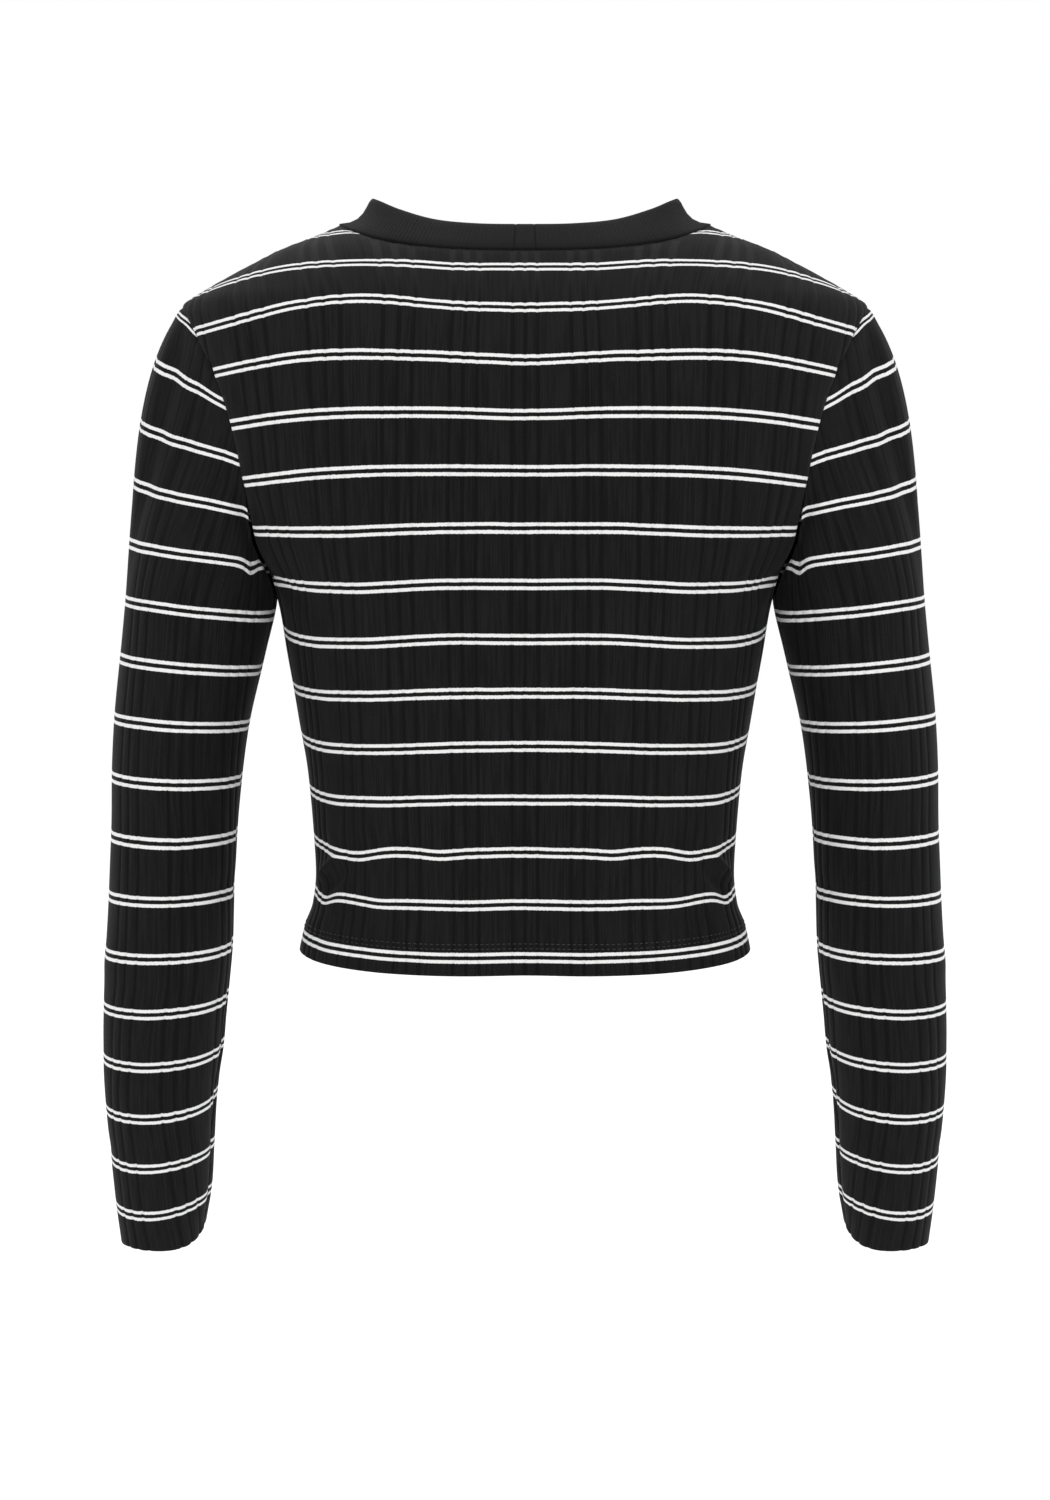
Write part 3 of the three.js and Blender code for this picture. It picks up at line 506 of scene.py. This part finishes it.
# The creases of the back, on the flat cloth: u, v, direction, length, width, rise, bow.
BACK_CREASES = [
    (125, 61, -45, 52, 3.2, 3.7, 0), (117, 53, -44, 50, 5, -3.2, 0), (134, 71, -46, 42, 6, -1.4, 0),
    (-126, 61, 225, 50, 3.2, 3.6, 0), (-118, 53, 224, 48, 5, -3.0, 0), (-135, 71, 226, 40, 6, -1.3, 0),
    (148, 238, 33, 60, 7, -2, 4), (140, 226, 30, 54, 8, 1.2, 3), (-147, 240, 147, 58, 7, -1.9, -4),
    (-139, 227, 150, 50, 8, 1.2, -3),
    (96, 92, -14, 90, 9, 0.9, 4), (84, 78, -12, 84, 8, -0.8, 4), (-92, 96, 194, 86, 9, 0.8, 4),
    (-86, 80, 191, 80, 8, -0.8, 4), (20, 66, 3, 120, 8, -0.6, -3), (-26, 84, -4, 110, 9, 0.5, 3),
    (150, 292, 52, 70, 8, -1.2, 4), (-151, 290, 128, 74, 8, -1.2, -4),
    (128, 410, 20, 80, 12, 0.8, 3), (-127, 412, 160, 76, 12, 0.8, 3),
    (60, 462, -18, 60, 6, -0.5, 0), (-62, 461, 198, 60, 6, -0.5, 0),
    (70, 4, 90, 22, 14, -1.4, 0), (-64, 5, 90, 22, 15, -1.3, 0), (20, 4, 90, 20, 13, 1.1, 0),
    (-118, 6, 90, 26, 13, 1.2, 0), (112, 6, 90, 26, 12, 1.0, 0)]

# Where the folds and the shoulders drag the stripes: u, v, reach across and up, drag, and 1 where a seam holds it.
BACK_SLIPS = [
    (98, 75, 15, 17, -3.0, 1), (128, 45, 11, 13, -4.8, 1), (48, 73, 12, 13, -1.3, 1), (84, 47, 14, 12, -1.3, 1),
    (-97, 75, 15, 17, -2.9, 1), (-129, 45, 11, 13, -4.6, 1), (-50, 73, 12, 13, -1.2, 1), (-86, 47, 14, 12, -1.2, 1),
    (78, 440, 18, 14, -2.2, 1), (-78, 440, 18, 14, -2.2, 1), (120, 440, 24, 14, 1.8, 1),
    (-120, 440, 24, 14, 1.8, 1), (72, 405, 26, 12, 1.8, 1), (-72, 405, 26, 12, 1.8, 1)]

back_mesh, back_outline, back_area = cut_cloth(rib_columns(205), BODY_ROWS, body_pattern(1))
back = wear("back_rib_panel", back_mesh, back_outline, lambda u, v: worn_body(u, v, 1), -1, BACK_CREASES,
            BACK_SLIPS, HEM_EDGE)
back.data.materials.append(BODY_KNIT)
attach(back, "root")
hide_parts("back_panel")

# ---------------------------------------------------------------------------------------------------------------
# FRONT PANEL. The same rib cut with a lower round neck, overlocked to the back at the sides and shoulders and
# hemmed with it in one round.
FRONT_CREASES = [
    (126, 58, -46, 54, 7, -2.4, 3), (134, 76, -42, 50, 8, 1.7, 2), (-127, 55, 228, 50, 7, -2.3, -3),
    (-136, 73, 222, 52, 8, 1.6, -2), (146, 236, 36, 62, 8, -1.9, 4), (-145, 238, 144, 60, 8, -1.9, -4),
    (138, 222, 30, 60, 9, 1.2, 3), (-137, 224, 150, 56, 9, 1.1, -3),
    (70, 118, 22, 110, 10, -1.0, 4), (-76, 112, 158, 104, 10, -1.0, 4), (74, 140, 26, 96, 10, 0.9, 3),
    (-70, 134, 153, 100, 10, 0.9, 3), (10, 96, 2, 130, 9, -0.7, 4), (-14, 74, -3, 120, 9, 0.6, -3),
    (132, 300, 60, 80, 9, -1.1, 4), (-133, 302, 120, 78, 9, -1.1, -4), (110, 380, 40, 60, 9, 0.7, 2),
    (-112, 378, 140, 62, 9, 0.7, 2), (66, 5, 90, 24, 14, -1.3, 0), (-72, 4, 90, 22, 14, -1.3, 0),
    (-16, 4, 90, 22, 14, 1.2, 0), (116, 6, 90, 26, 12, 1.1, 0), (-114, 6, 90, 26, 13, 1.0, 0)]

FRONT_SLIPS = [
    (108, 71, 15, 16, -3.2, 1), (129, 44, 11, 12, -3.8, 1), (-110, 72, 15, 16, -3.0, 1),
    (-128, 46, 11, 12, -3.7, 1)]

front_mesh, front_outline, front_area = cut_cloth(rib_columns(205), BODY_ROWS, body_pattern(-1))
front = wear("front_rib_panel", front_mesh, front_outline, lambda u, v: worn_body(u, v, -1), 1, FRONT_CREASES,
             FRONT_SLIPS, HEM_EDGE)
front.data.materials.append(BODY_KNIT)
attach(front, "root")
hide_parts("front_panel")

# ---------------------------------------------------------------------------------------------------------------
# SLEEVES. Two long set-in sleeves of the same rib, each one cut piece closed by a seam under the arm, with its
# rounded cap overlocked into the armhole and a narrow turned edge at the wrist. The right one mirrors the left.
SLEEVE = np.array([
    (0, 217.5, -50, -590.5, -8.5, 17.5, 25.5, 26), (21, 216, -43, -568.5, -7, 14.5, 28.5, 28),
    (54, 215, -32, -538.5, -5.5, 12.5, 30.5, 29.5), (87, 214, -22, -507, -5, 11, 32.5, 31.5),
    (120, 211.5, -14, -476, -4, 9, 35, 33.5), (153, 209, -8, -445.5, -3, 6, 36, 35.5),
    (186, 206, -3, -414.5, -2, 3.5, 36.5, 36.5), (219, 204, 0, -382, -1, 2, 36, 38),
    (252, 202, 2, -348, 0.5, 2.5, 36, 39.5), (285, 200, 3, -315, 2, 2.5, 37, 41.5),
    (318, 196.5, 4, -282.5, 3.5, 2, 38, 43), (351, 191, 4, -249.5, 5, 2.5, 40, 45),
    (380, 186.5, 4, -222, 6.5, 2, 42, 46)])
SLEEVE_STRETCH = 1.04
RINGS_END = 380.0
UNDERARM = 393.5
CAP_TOP = 559.5
CAP_FALL = 0.735
CAP_LEAVE = (0.97, 1.21)
CAP_ARRIVE = (0.86, 0.9)
CAP_FOLD = 0.68
CUFF_DEPTH = 12.0
SLEEVE_TWIST = 7.0


def sleeve_ring(q, v, face):
    """A point of the sleeve's tube: q goes from the outside of the arm (0) to the seam under it (1)."""
    x, y, z, tilt, tip, half, deep = (smooth(SLEEVE, i, v) for i in range(1, 8))
    across = half * np.cos(math.pi * q)
    out = face * deep * np.sin(math.pi * q)
    tilt, tip = np.radians(tilt), np.radians(tip)
    return np.stack([x + across, y + out * np.cos(tip), z + across * np.tan(tilt) - out * np.sin(tip)], -1)


def sleeve_half(v):
    """Half the flat width of the sleeve."""
    v = np.minimum(v, RINGS_END)
    return math.pi / 2 * (smooth(SLEEVE, 6, v) + smooth(SLEEVE, 7, v)) / SLEEVE_STRETCH


def cap_height(q):
    """How high the flat sleeve's cap reaches at the share q from the middle to the underarm."""
    return UNDERARM + (CAP_TOP - UNDERARM) * ((1 + np.cos(math.pi * q)) / 2)**CAP_FALL


def armhole_at(share, face):
    """The armhole's points and the body's outward direction there."""
    run, heights, angles = ARMHOLE_RUN[face]
    share = np.clip(share, 0, 1)
    z, angle = np.interp(share, run, heights), np.interp(share, run, angles)
    up = on_body(z + 0.5, angle, face) - on_body(z - 0.5, angle, face)
    round_it = on_body(z, angle + 0.01, face) - on_body(z, angle - 0.01, face)
    normal = np.cross(up, round_it)
    normal /= np.linalg.norm(normal, axis=1)[:, None]
    return on_body(z, angle, face), normal * np.sign(normal[:, :1])


def worn_half_sleeve(u, v, face):
    """Where a flat point is worn: on the arm's rings below the cap, and above them on a curve from the last ring
    that meets the body square to the armhole, or flush with the shoulder."""
    q = np.clip(np.abs(u) / sleeve_half(v), 0, 1.02)
    ring = sleeve_ring(q, v, face)
    f = np.clip((v - RINGS_END) / (cap_height(np.minimum(q, 1)) - RINGS_END), 0, 1.1)[:, None]
    end, normal = armhole_at(q, face)
    top = np.full_like(q, RINGS_END)
    start = sleeve_ring(q, top, face)
    up = start - sleeve_ring(q, top - 1, face)
    up /= np.linalg.norm(up, axis=1)[:, None]
    chord = start - end
    length = np.linalg.norm(chord, axis=1)[:, None]
    along = chord - normal * (chord * normal).sum(1)[:, None]
    along /= np.linalg.norm(along, axis=1)[:, None]
    fold = np.clip((CAP_FOLD + 0.18 - q) / 0.36, 0, 1)[:, None]
    flush = fold * fold * (3 - 2 * fold)
    away = along * flush + chord / length * (1 - flush)
    away /= np.linalg.norm(away, axis=1)[:, None]
    q = q[:, None]
    leave = (CAP_LEAVE[0] + (CAP_LEAVE[1] - CAP_LEAVE[0]) * q) * length
    arrive = (CAP_ARRIVE[0] + (CAP_ARRIVE[1] - CAP_ARRIVE[0]) * (1 - (1 - q)**2)) * length
    cap = (start * (2 * f**3 - 3 * f**2 + 1) + up * (f**3 - 2 * f**2 + f) * leave
           + end * (3 * f**2 - 2 * f**3) + away * (f**2 - f**3) * arrive)
    return np.where(v[:, None] <= RINGS_END, ring, cap)


def worn_sleeve(u, v):
    """The sleeve, with its seam turned a little to the back below the elbow."""
    half = sleeve_half(v)
    u = u - SLEEVE_TWIST * np.clip((170 - v) / 75, 0, 1)
    u = np.where(u < -half, u + 2 * half, u)
    return np.where(u[:, None] < 0, worn_half_sleeve(u, v, -1), worn_half_sleeve(u, v, 1))


SLEEVE_CREASES = [
    (87, 444, 119, 76, 4.6, -3.4, 0), (74, 437, 119, 74, 8, 1.5, 2), (104, 412, 100, 60, 7, -1.6, 2),
    (-87, 444, 61, 74, 4.6, -3.2, 0), (-74, 437, 61, 70, 8, 1.4, -2), (-103, 410, 80, 58, 7, -1.5, -2),
    (60, 236, 12, 60, 8, -1.3, 4), (66, 252, 16, 54, 8, 1.0, 4), (-58, 240, 168, 60, 8, -1.3, 4),
    (-64, 258, 165, 52, 8, 1.0, 4),
    (92, 222, 8, 40, 7, -1.2, 3), (-94, 226, 172, 42, 7, -1.2, 3), (36, 120, -10, 66, 8, -0.8, 3),
    (-40, 108, 190, 64, 8, -0.8, 3), (70, 84, 14, 46, 7, 0.8, 2), (-72, 90, 166, 44, 7, 0.8, 2),
    (10, 180, 4, 70, 9, 0.6, 3), (14, 60, -6, 50, 7, -0.5, 2), (30, 470, 70, 90, 12, -0.9, 0),
    (-34, 466, 110, 84, 12, -0.9, 0), (4, 330, 86, 120, 12, 0.7, 0), (52, 352, 74, 90, 10, -0.7, 2)]
SLEEVE_SLIPS = [
    (0, 540, 62, 22, 5.5, 1), (0, 512, 40, 14, 1.2, 1), (0, 483, 42, 12, -1.5, 1), (60, 238, 26, 16, -1.2, 1),
    (-62, 240, 26, 16, -1.2, 1), (-92, 70, 26, 95, 2.3, 0), (-112, 230, 24, 60, 1.2, 0), (90, 120, 22, 90, -0.6, 0),
    (101, 415, 8.5, 9, -5.2, 1), (-101, 415, 8.5, 9, -4.6, 1), (9, -2, 11, 11, -3.4, 0), (66, -2, 19, 13, -4.8, 0),
    (-90, -2, 19, 13, -4.8, 0)]
SLEEVE_KNIT = striped_knit("striped_rib_sleeve", 21.0, 2000.0, 3.0)
cap_q = np.linspace(1, 0, 48)
sleeve_v = np.array([-6, 30, 60, 100, 150, 200, 250, 300, 340, 365, 380.0])
cap_edge = np.stack([cap_q * sleeve_half(np.array([RINGS_END])), cap_height(cap_q)], -1)
sleeve_pattern = np.vstack([np.stack([sleeve_half(np.maximum(sleeve_v, 0)), sleeve_v], -1), cap_edge])
cuff_rows = [0, 0.3, 0.75, 1.2, 3, 5.5, 8, 10.4, 11.4, 12.6, 15]
SLEEVE_ROWS = cuff_rows + [15 + 3.2 * k for k in range(1, 172)]
sleeve_mesh, sleeve_outline, sleeve_area = cut_cloth(rib_columns(140), SLEEVE_ROWS, sleeve_pattern)
left = wear("sleeve_rib_left", sleeve_mesh, sleeve_outline, worn_sleeve, 1, SLEEVE_CREASES, SLEEVE_SLIPS,
            (0.0, HEM_WALL, CUFF_DEPTH, ()))
mirror = bmesh.new()
mirror.from_mesh(left.data)
bmesh.ops.scale(mirror, verts=mirror.verts, vec=(-1, 1, 1))
bmesh.ops.recalc_face_normals(mirror, faces=mirror.faces)
right = placed("sleeve_rib_right", mirror)
for sleeve, node in ((left, "sleeve_left"), (right, "sleeve_right")):
    sleeve.data.materials.append(SLEEVE_KNIT)
    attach(sleeve, "root")
    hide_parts(node)

# ---------------------------------------------------------------------------------------------------------------
# NECKBAND. A strip of plain fine rib folded double, joined into a ring at the middle of the back and overlocked
# round the neck, so it stands up from the seam with a rounded fold on top.
BAND_GAP = 0.1
BAND_RIBS = 260
BAND_PLAIN = (0.0035, 0.0035, 0.0037, 1)
BAND_LIGHT = (0.0112, 0.0112, 0.0115, 1)


def seam_at(k):
    """The neck seam at k rows of the NECK table from the middle of the back."""
    last, shoulder = len(NECK) - 1, int((NECK[:, 0] > 0).sum()) - 1
    back_part, front_part = neck_line(1, 401), neck_line(-1, 401)[::-1]
    share = np.where(k <= shoulder, k / shoulder, (k - shoulder) / (last - shoulder))
    pick = np.clip(share, 0, 1) * 400
    points = []
    for face, line in ((1, back_part), (-1, front_part)):
        x, z = np.interp(pick, range(401), line[:, 0]), np.interp(pick, range(401), line[:, 1])
        half = body_level(z, face)[0]
        points.append(on_body(z, np.arcsin(np.clip(x / half, 0, 1)), face))
    return np.where((k <= shoulder)[:, None], points[0], points[1])


band_k = np.linspace(0, len(NECK) - 1, 481)
band_seam = seam_at(band_k)
band_top = through(NECK[:, 3:6], 481)
band_run = np.append(0, np.cumsum(np.linalg.norm(np.diff(band_seam, axis=0), axis=1)))
BAND_HALF = band_run[-1]
BAND_TIP_RUN = band_run[200]


def worn_band(u, v):
    """A point u along the neck seam from the join at the back, at the share v of the band's height."""
    across = np.where(u <= BAND_HALF, u, 2 * BAND_HALF - u)
    want = np.abs(across)
    seam = np.stack([np.interp(want, band_run, band_seam[:, i]) for i in range(3)], -1)
    top = np.stack([np.interp(want, band_run, band_top[:, i]) for i in range(3)], -1)
    rise = top - seam
    start = (BAND_GAP / np.linalg.norm(rise, axis=1))[:, None]
    point = seam + rise * (start + (1 - start) * v[:, None])
    tip = np.exp(-((want - BAND_TIP_RUN) / 34)**2)
    waist = 4.6 * tip * 4 * v * (1 - np.clip(v, 0, 1)) * (1.25 - 0.5 * v)
    point -= np.stack([0.7 * waist, 0 * v, 0.75 * waist], -1)
    point[:, 2] -= 1.6 * tip * np.clip(v, 0, 1)
    point[:, 0] *= np.where((u > BAND_HALF) ^ (across < 0), -1, 1)
    return point


BAND_PROFILE = [(0.0, 0.0), (0.06, 0.35), (0.2, 0.42), (0.4, 0.45), (0.6, 0.4), (0.78, 0.28), (0.9, 0.02),
                (0.96, -0.38), (0.99, -0.8), (1.0, -1.2), (0.99, -1.6), (0.96, -2.0), (0.9, -2.3), (0.7, -2.4),
                (0.45, -2.4), (0.2, -2.4), (0.0, -2.4)]
strip = bmesh.new()
ribs_round = BAND_RIBS * 4
bmesh.ops.create_grid(strip, x_segments=ribs_round, y_segments=len(BAND_PROFILE) - 1, size=0.5)
layer = strip.loops.layers.uv.new("flat")
spots = np.array([(round((v.co.x + 0.5) * ribs_round), round((v.co.y + 0.5) * (len(BAND_PROFILE) - 1)))
                  for v in strip.verts])
profile = np.array(BAND_PROFILE)
along = spots[:, 0] * (2 * BAND_HALF / ribs_round)
height, out = profile[spots[:, 1], 0], profile[spots[:, 1], 1]
join = np.exp(-(((along + 6) % (2 * BAND_HALF) - 12) / 0.5)**2) + np.exp(-(((along + 6) % (2 * BAND_HALF)) / 0.5)**2)
rib = 0.11 * np.cos(spots[:, 0] * math.pi / 2) * (height < 0.95)
outward_face = out > -1.2
lift = out + np.where(outward_face, rib - 0.6 * join, -rib * 0.5)
step = 0.4
point = worn_band(along, height)
normal = -np.cross(worn_band(along + step, height) - worn_band(along - step, height),
                   worn_band(along, height + 0.02) - worn_band(along, height - 0.02))
normal /= np.linalg.norm(normal, axis=1)[:, None]
worn = (point + normal * lift[:, None]) * 0.001
flat_up = np.append(0, np.cumsum(np.linalg.norm(np.diff(profile * (22, 1), axis=0), axis=1)))
for f in strip.faces:
    for corner in f.loops:
        i = corner.vert.index
        corner[layer].uv = (along[i] * 0.001, flat_up[spots[i, 1]] * 0.001)
for vert, place in zip(strip.verts, worn):
    vert.co = place
bmesh.ops.remove_doubles(strip, verts=strip.verts, dist=1e-5)
foot = [e for e in strip.edges if e.is_boundary]
bmesh.ops.bridge_loops(strip, edges=foot)
bmesh.ops.recalc_face_normals(strip, faces=strip.faces)
for f in strip.faces:
    f.smooth = True
band = placed("neckband_rib", strip)

plain_rib, shader, start = new_finish("plain_neck_rib")
flat = start.add("ShaderNodeUVMap", {"uv_map": "flat"})
place = start.add("ShaderNodeVectorMath", {"operation": "SCALE"}, {0: flat, "Scale": 1000.0})
parts = start.add("ShaderNodeSeparateXYZ", {}, {0: place})
up_band = parts.beside(1)
from_join = abs(parts.math("MINIMUM", 2 * BAND_HALF - parts) - 6.0)
fuzz = start.add("ShaderNodeTexNoise", {"noise_dimensions": "2D"}, {"Vector": place, "Scale": 0.8, "Detail": 2.0})
patch = start.add("ShaderNodeTexNoise", {"noise_dimensions": "2D"}, {"Vector": place, "Scale": 0.05, "Detail": 1.0})
course = up_band.math("PINGPONG", 0.4) * 2.5
# Painted shadow: the band is painted darker over its lowest 9 mm, where it stands on the neck seam; the join at the
# back is a dark seam.
tone = start.add("ShaderNodeMix", {"data_type": "RGBA", "clamp_factor": True},
                 {"Factor": (fuzz * 1.3 + patch * 0.7 - 0.68) * up_band.fade(0.5, 9.0, 0.15, 1.0)
                  * from_join.fade(0.3, 0.8, 0.0, 1.0),
                  6: BAND_PLAIN, 7: BAND_LIGHT}, out=2)
bump = start.add("ShaderNodeBump", {}, {"Strength": 0.5, "Distance": 0.001, "Height": course * 0.08 + fuzz * 0.15})
feed(shader, tone, 0.84 + (patch - 0.5) * 0.1, bump)
shader.inputs["Specular IOR Level"].default_value = 0.14
shader.inputs["Sheen Weight"].default_value = 0.04
shader.inputs["Sheen Roughness"].default_value = 0.45
band.data.materials.append(plain_rib)
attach(band, "root")
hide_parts("neckband")

# ---------------------------------------------------------------------------------------------------------------
# HEM STITCHING. Two close rows of short black stitches, sewn by a twin needle right round the hem to hold the
# turned-up edge inside. They lie pressed into the cloth, so only their rounded tops stand out.
STITCH = 3.1
STITCH_SIZE = (0.00118, 0.0004, 0.00034)
thread = bmesh.new()
for face, creases in ((1, BACK_CREASES), (-1, FRONT_CREASES)):
    for row in HEM_NEEDLES:
        half = float(body_level(course_height(course_stations(np.array([row])), np.ones(1)), face)[2][0])
        across_hem = np.arange(-half + 2, half - 1, STITCH)
        up_hem = np.full(len(across_hem), row)
        lift = ribbed(across_hem, up_hem) + creased(creases, across_hem, up_hem) - 0.12
        point, along, out = on_form(lambda u, v: worn_body(u, v, face), -face, across_hem, up_hem)
        for place, way, rise in zip((point + out * lift[:, None]) * 0.001, along, out):
            turn = Matrix((way, np.cross(rise, way), rise)).transposed().to_4x4()
            bmesh.ops.create_uvsphere(thread, u_segments=6, v_segments=4, radius=1,
                                      matrix=Matrix.Translation(place) @ turn @ Matrix.Diagonal((*STITCH_SIZE, 1)))
for f in thread.faces:
    f.smooth = True
stitching = placed("hem_stitching", thread)

sewing_thread, shader, start = new_finish("black_sewing_thread")
spot = start.add("ShaderNodeVectorMath", {"operation": "SCALE"},
                 {0: start.add("ShaderNodeTexCoord", out=3), "Scale": 1000.0})
fibre = start.add("ShaderNodeTexNoise", {}, {"Vector": spot, "Scale": 2.2, "Detail": 2.0})
batch = start.add("ShaderNodeTexNoise", {}, {"Vector": spot, "Scale": 0.08, "Detail": 0.0})
tone = start.add("ShaderNodeMix", {"data_type": "RGBA", "clamp_factor": True},
                 {"Factor": fibre * 0.8 + batch * 0.7 - 0.25, 6: (0.006, 0.006, 0.006, 1),
                  7: (0.028, 0.028, 0.029, 1)}, out=2)
bump = start.add("ShaderNodeBump", {}, {"Strength": 0.4, "Distance": 0.001, "Height": fibre * 0.1})
feed(shader, tone, 0.62 + (fibre - 0.5) * 0.2, bump)
shader.inputs["Specular IOR Level"].default_value = 0.3
stitching.data.materials.append(sewing_thread)
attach(stitching, "root")

# ---------------------------------------------------------------------------------------------------------------
# SEAM EDGES. Inside, the two cloths of every seam end in one overlocked edge 5 mm wide, laid flat against the
# wall: up the sides, round the armholes, over the shoulders, round the neck and along the sleeves.
EDGE_PROFILE = np.array([(-1.2, 1.5), (1.2, 1.45), (4.6, 1.6), (5.2, 2.0), (4.6, 2.5), (1.2, 2.6), (-1.2, 2.5)])
edges = bmesh.new()
edges.loops.layers.uv.new("flat")


def overlock(points, out, side):
    """One overlocked edge inside the seam that runs through the points."""
    strip = bmesh.new()
    layer = strip.loops.layers.uv.new("flat")
    around = len(EDGE_PROFILE)
    bmesh.ops.create_grid(strip, x_segments=len(points) - 1, y_segments=around, size=0.5)
    run = np.append(0, np.cumsum(np.linalg.norm(np.diff(points, axis=0), axis=1)))
    spots = {}
    for vert in strip.verts:
        i, j = round((vert.co.x + 0.5) * (len(points) - 1)), round((vert.co.y + 0.5) * around)
        reach, depth = EDGE_PROFILE[j % around]
        spots[vert] = (run[i] * 0.001, j * 0.002)
        vert.co = (points[i] - out[i] * depth + side[i] * reach) * 0.001
    for f in strip.faces:
        f.smooth = True
        for corner in f.loops:
            corner[layer].uv = spots[corner.vert]
    bmesh.ops.remove_doubles(strip, verts=strip.verts, dist=1e-6)
    bmesh.ops.holes_fill(strip, edges=[e for e in strip.edges if e.is_boundary], sides=0)
    bmesh.ops.recalc_face_normals(strip, faces=strip.faces)
    part = bpy.data.meshes.new("seam_part")
    strip.to_mesh(part)
    strip.free()
    edges.from_mesh(part)
    bpy.data.meshes.remove(part)


def beside(points, out):
    """The way across a seam, along the wall that it lies on."""
    side = np.cross(np.gradient(points, axis=0), out)
    return side / np.linalg.norm(side, axis=1)[:, None]


seam_v = np.linspace(HEM_DEPTH + 0.5, 194, 60)
seam_z = course_height(course_stations(seam_v), np.ones(60))
point, along, out = on_form(lambda u, v: worn_body(u, v, 1), -1, body_level(seam_z, 1)[2] - 0.5, seam_v)
shoulder_z = np.linspace(-45, -2, 30)
ridge = on_body(shoulder_z, np.full(30, math.pi / 2), 1)
ridge_out = np.stack([0.25 + 0 * shoulder_z, 0 * shoulder_z, 0.97 + 0 * shoulder_z], -1)
sleeve_up = np.linspace(CUFF_DEPTH + 0.5, 374, 110)
under, under_along, under_out = on_form(worn_sleeve, 1, sleeve_half(sleeve_up) - 0.5, sleeve_up)
for sign in (1, -1):
    flip = np.array([sign, 1, 1])
    overlock(point * flip, out * flip, -along * flip)
    overlock(ridge * flip, ridge_out * flip, np.tile([0, 1.0, 0], (30, 1)))
    overlock(under * flip, under_out * flip, -under_along * flip)
    for face in (1, -1):
        hole, hole_out = armhole_at(np.linspace(0.03, 0.985, 80), face)
        away = beside(hole, hole_out)
        away *= np.sign((away * (hole - (190, 0, -130))).sum(1))[:, None]
        overlock(hole * flip, hole_out * flip, away * flip)
neck_round = np.array([(p[0], p[1], p[2]) for p in band_seam[::4]])
neck_in = np.stack([neck_round[:, 0] / 105, neck_round[:, 1] / 60, 0.9 + 0 * neck_round[:, 0]], -1)
neck_in /= np.linalg.norm(neck_in, axis=1)[:, None]
away = beside(neck_round, neck_in)
away *= np.sign((away * (neck_round - (0, -10, 10))).sum(1))[:, None]
for sign in (1, -1):
    flip = np.array([sign, 1, 1])
    overlock(neck_round * flip, neck_in * flip, away * flip)
seams = placed("overlocked_edges", edges)

overlock_thread, shader, start = new_finish("black_overlock")
place = start.add("ShaderNodeVectorMath", {"operation": "SCALE"},
                  {0: start.add("ShaderNodeUVMap", {"uv_map": "flat"}), "Scale": 1000.0})
parts = start.add("ShaderNodeSeparateXYZ", {}, {0: place})
loops = (parts + parts.beside(1) * 0.12).math("PINGPONG", 0.7)
fibre = start.add("ShaderNodeTexNoise", {"noise_dimensions": "2D"}, {"Vector": place, "Scale": 1.6, "Detail": 2.0})
tone = start.add("ShaderNodeMix", {"data_type": "RGBA", "clamp_factor": True},
                 {"Factor": loops * 0.8 + fibre * 0.5 - 0.2, 6: (0.0035, 0.0035, 0.0036, 1),
                  7: (0.017, 0.017, 0.0175, 1)}, out=2)
bump = start.add("ShaderNodeBump", {}, {"Strength": 0.7, "Distance": 0.001, "Height": loops * 0.5 + fibre * 0.1})
feed(shader, tone, 0.8 + (fibre - 0.5) * 0.15, bump)
shader.inputs["Specular IOR Level"].default_value = 0.2
seams.data.materials.append(overlock_thread)
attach(seams, "root")

# ---------------------------------------------------------------------------------------------------------------
# STUDIO. The floor is a plain pale sheet well below the cuffs; the light is soft from all round, with a large
# lamp above and beside the camera. The camera looks level with the shoulder blades at the middle of the back.
FLOOR_HEIGHT = -0.72
PHOTO_HEIGHT = 1500
PHOTO_FOCUS = 2609
CAMERA_TIP = 3.51
sheet = bmesh.new()
bmesh.ops.create_grid(sheet, x_segments=1, y_segments=1, size=8, matrix=Matrix.Translation((0, 0, FLOOR_HEIGHT)))
floor = placed("studio_floor", sheet)
paper, shader, start = new_finish("pale_floor")
for key, value in (("Base Color", (0.93, 0.93, 0.93, 1)), ("Emission Color", (1, 1, 1, 1)),
                   ("Emission Strength", 0.12), ("Roughness", 0.9)):
    shader.inputs[key].default_value = value
floor.data.materials.append(paper)

sky = bpy.data.worlds.new("soft_studio")
sky.use_nodes = True
sky.node_tree.nodes["Background"].inputs["Color"].default_value = (1, 1, 1, 1)
sky.node_tree.nodes["Background"].inputs["Strength"].default_value = 1.0
bpy.context.scene.world = sky
for name, place, size, power in (("key_lamp", (-0.5, 1.0, 1.7), 1.4, 11), ("fill_lamp", (1.4, 1.5, 0.3), 1.6, 2.5),
                                 ("front_lamp", (0.6, -1.5, 1.3), 1.6, 8)):
    lamp = bpy.data.objects.new(name, bpy.data.lights.new(name, "AREA"))
    lamp.data.energy, lamp.data.size = power, size
    lamp.location = place
    lamp.rotation_euler = (Vector((0, 0, -0.25)) - Vector(place)).to_track_quat("-Z", "Y").to_euler()
    bpy.context.scene.collection.objects.link(lamp)

view = bpy.data.cameras.new("photo_camera")
view.sensor_fit, view.sensor_height, view.lens = "VERTICAL", 36, 36 * PHOTO_FOCUS / PHOTO_HEIGHT
camera = bpy.data.objects.new("photo_camera", view)
camera.location = (0, 1.5, -0.208)
camera.rotation_euler = (math.radians(90 - CAMERA_TIP), 0, math.radians(180))
bpy.context.scene.collection.objects.link(camera)
bpy.context.scene.camera = camera
bpy.context.scene.view_settings.view_transform = "Standard"
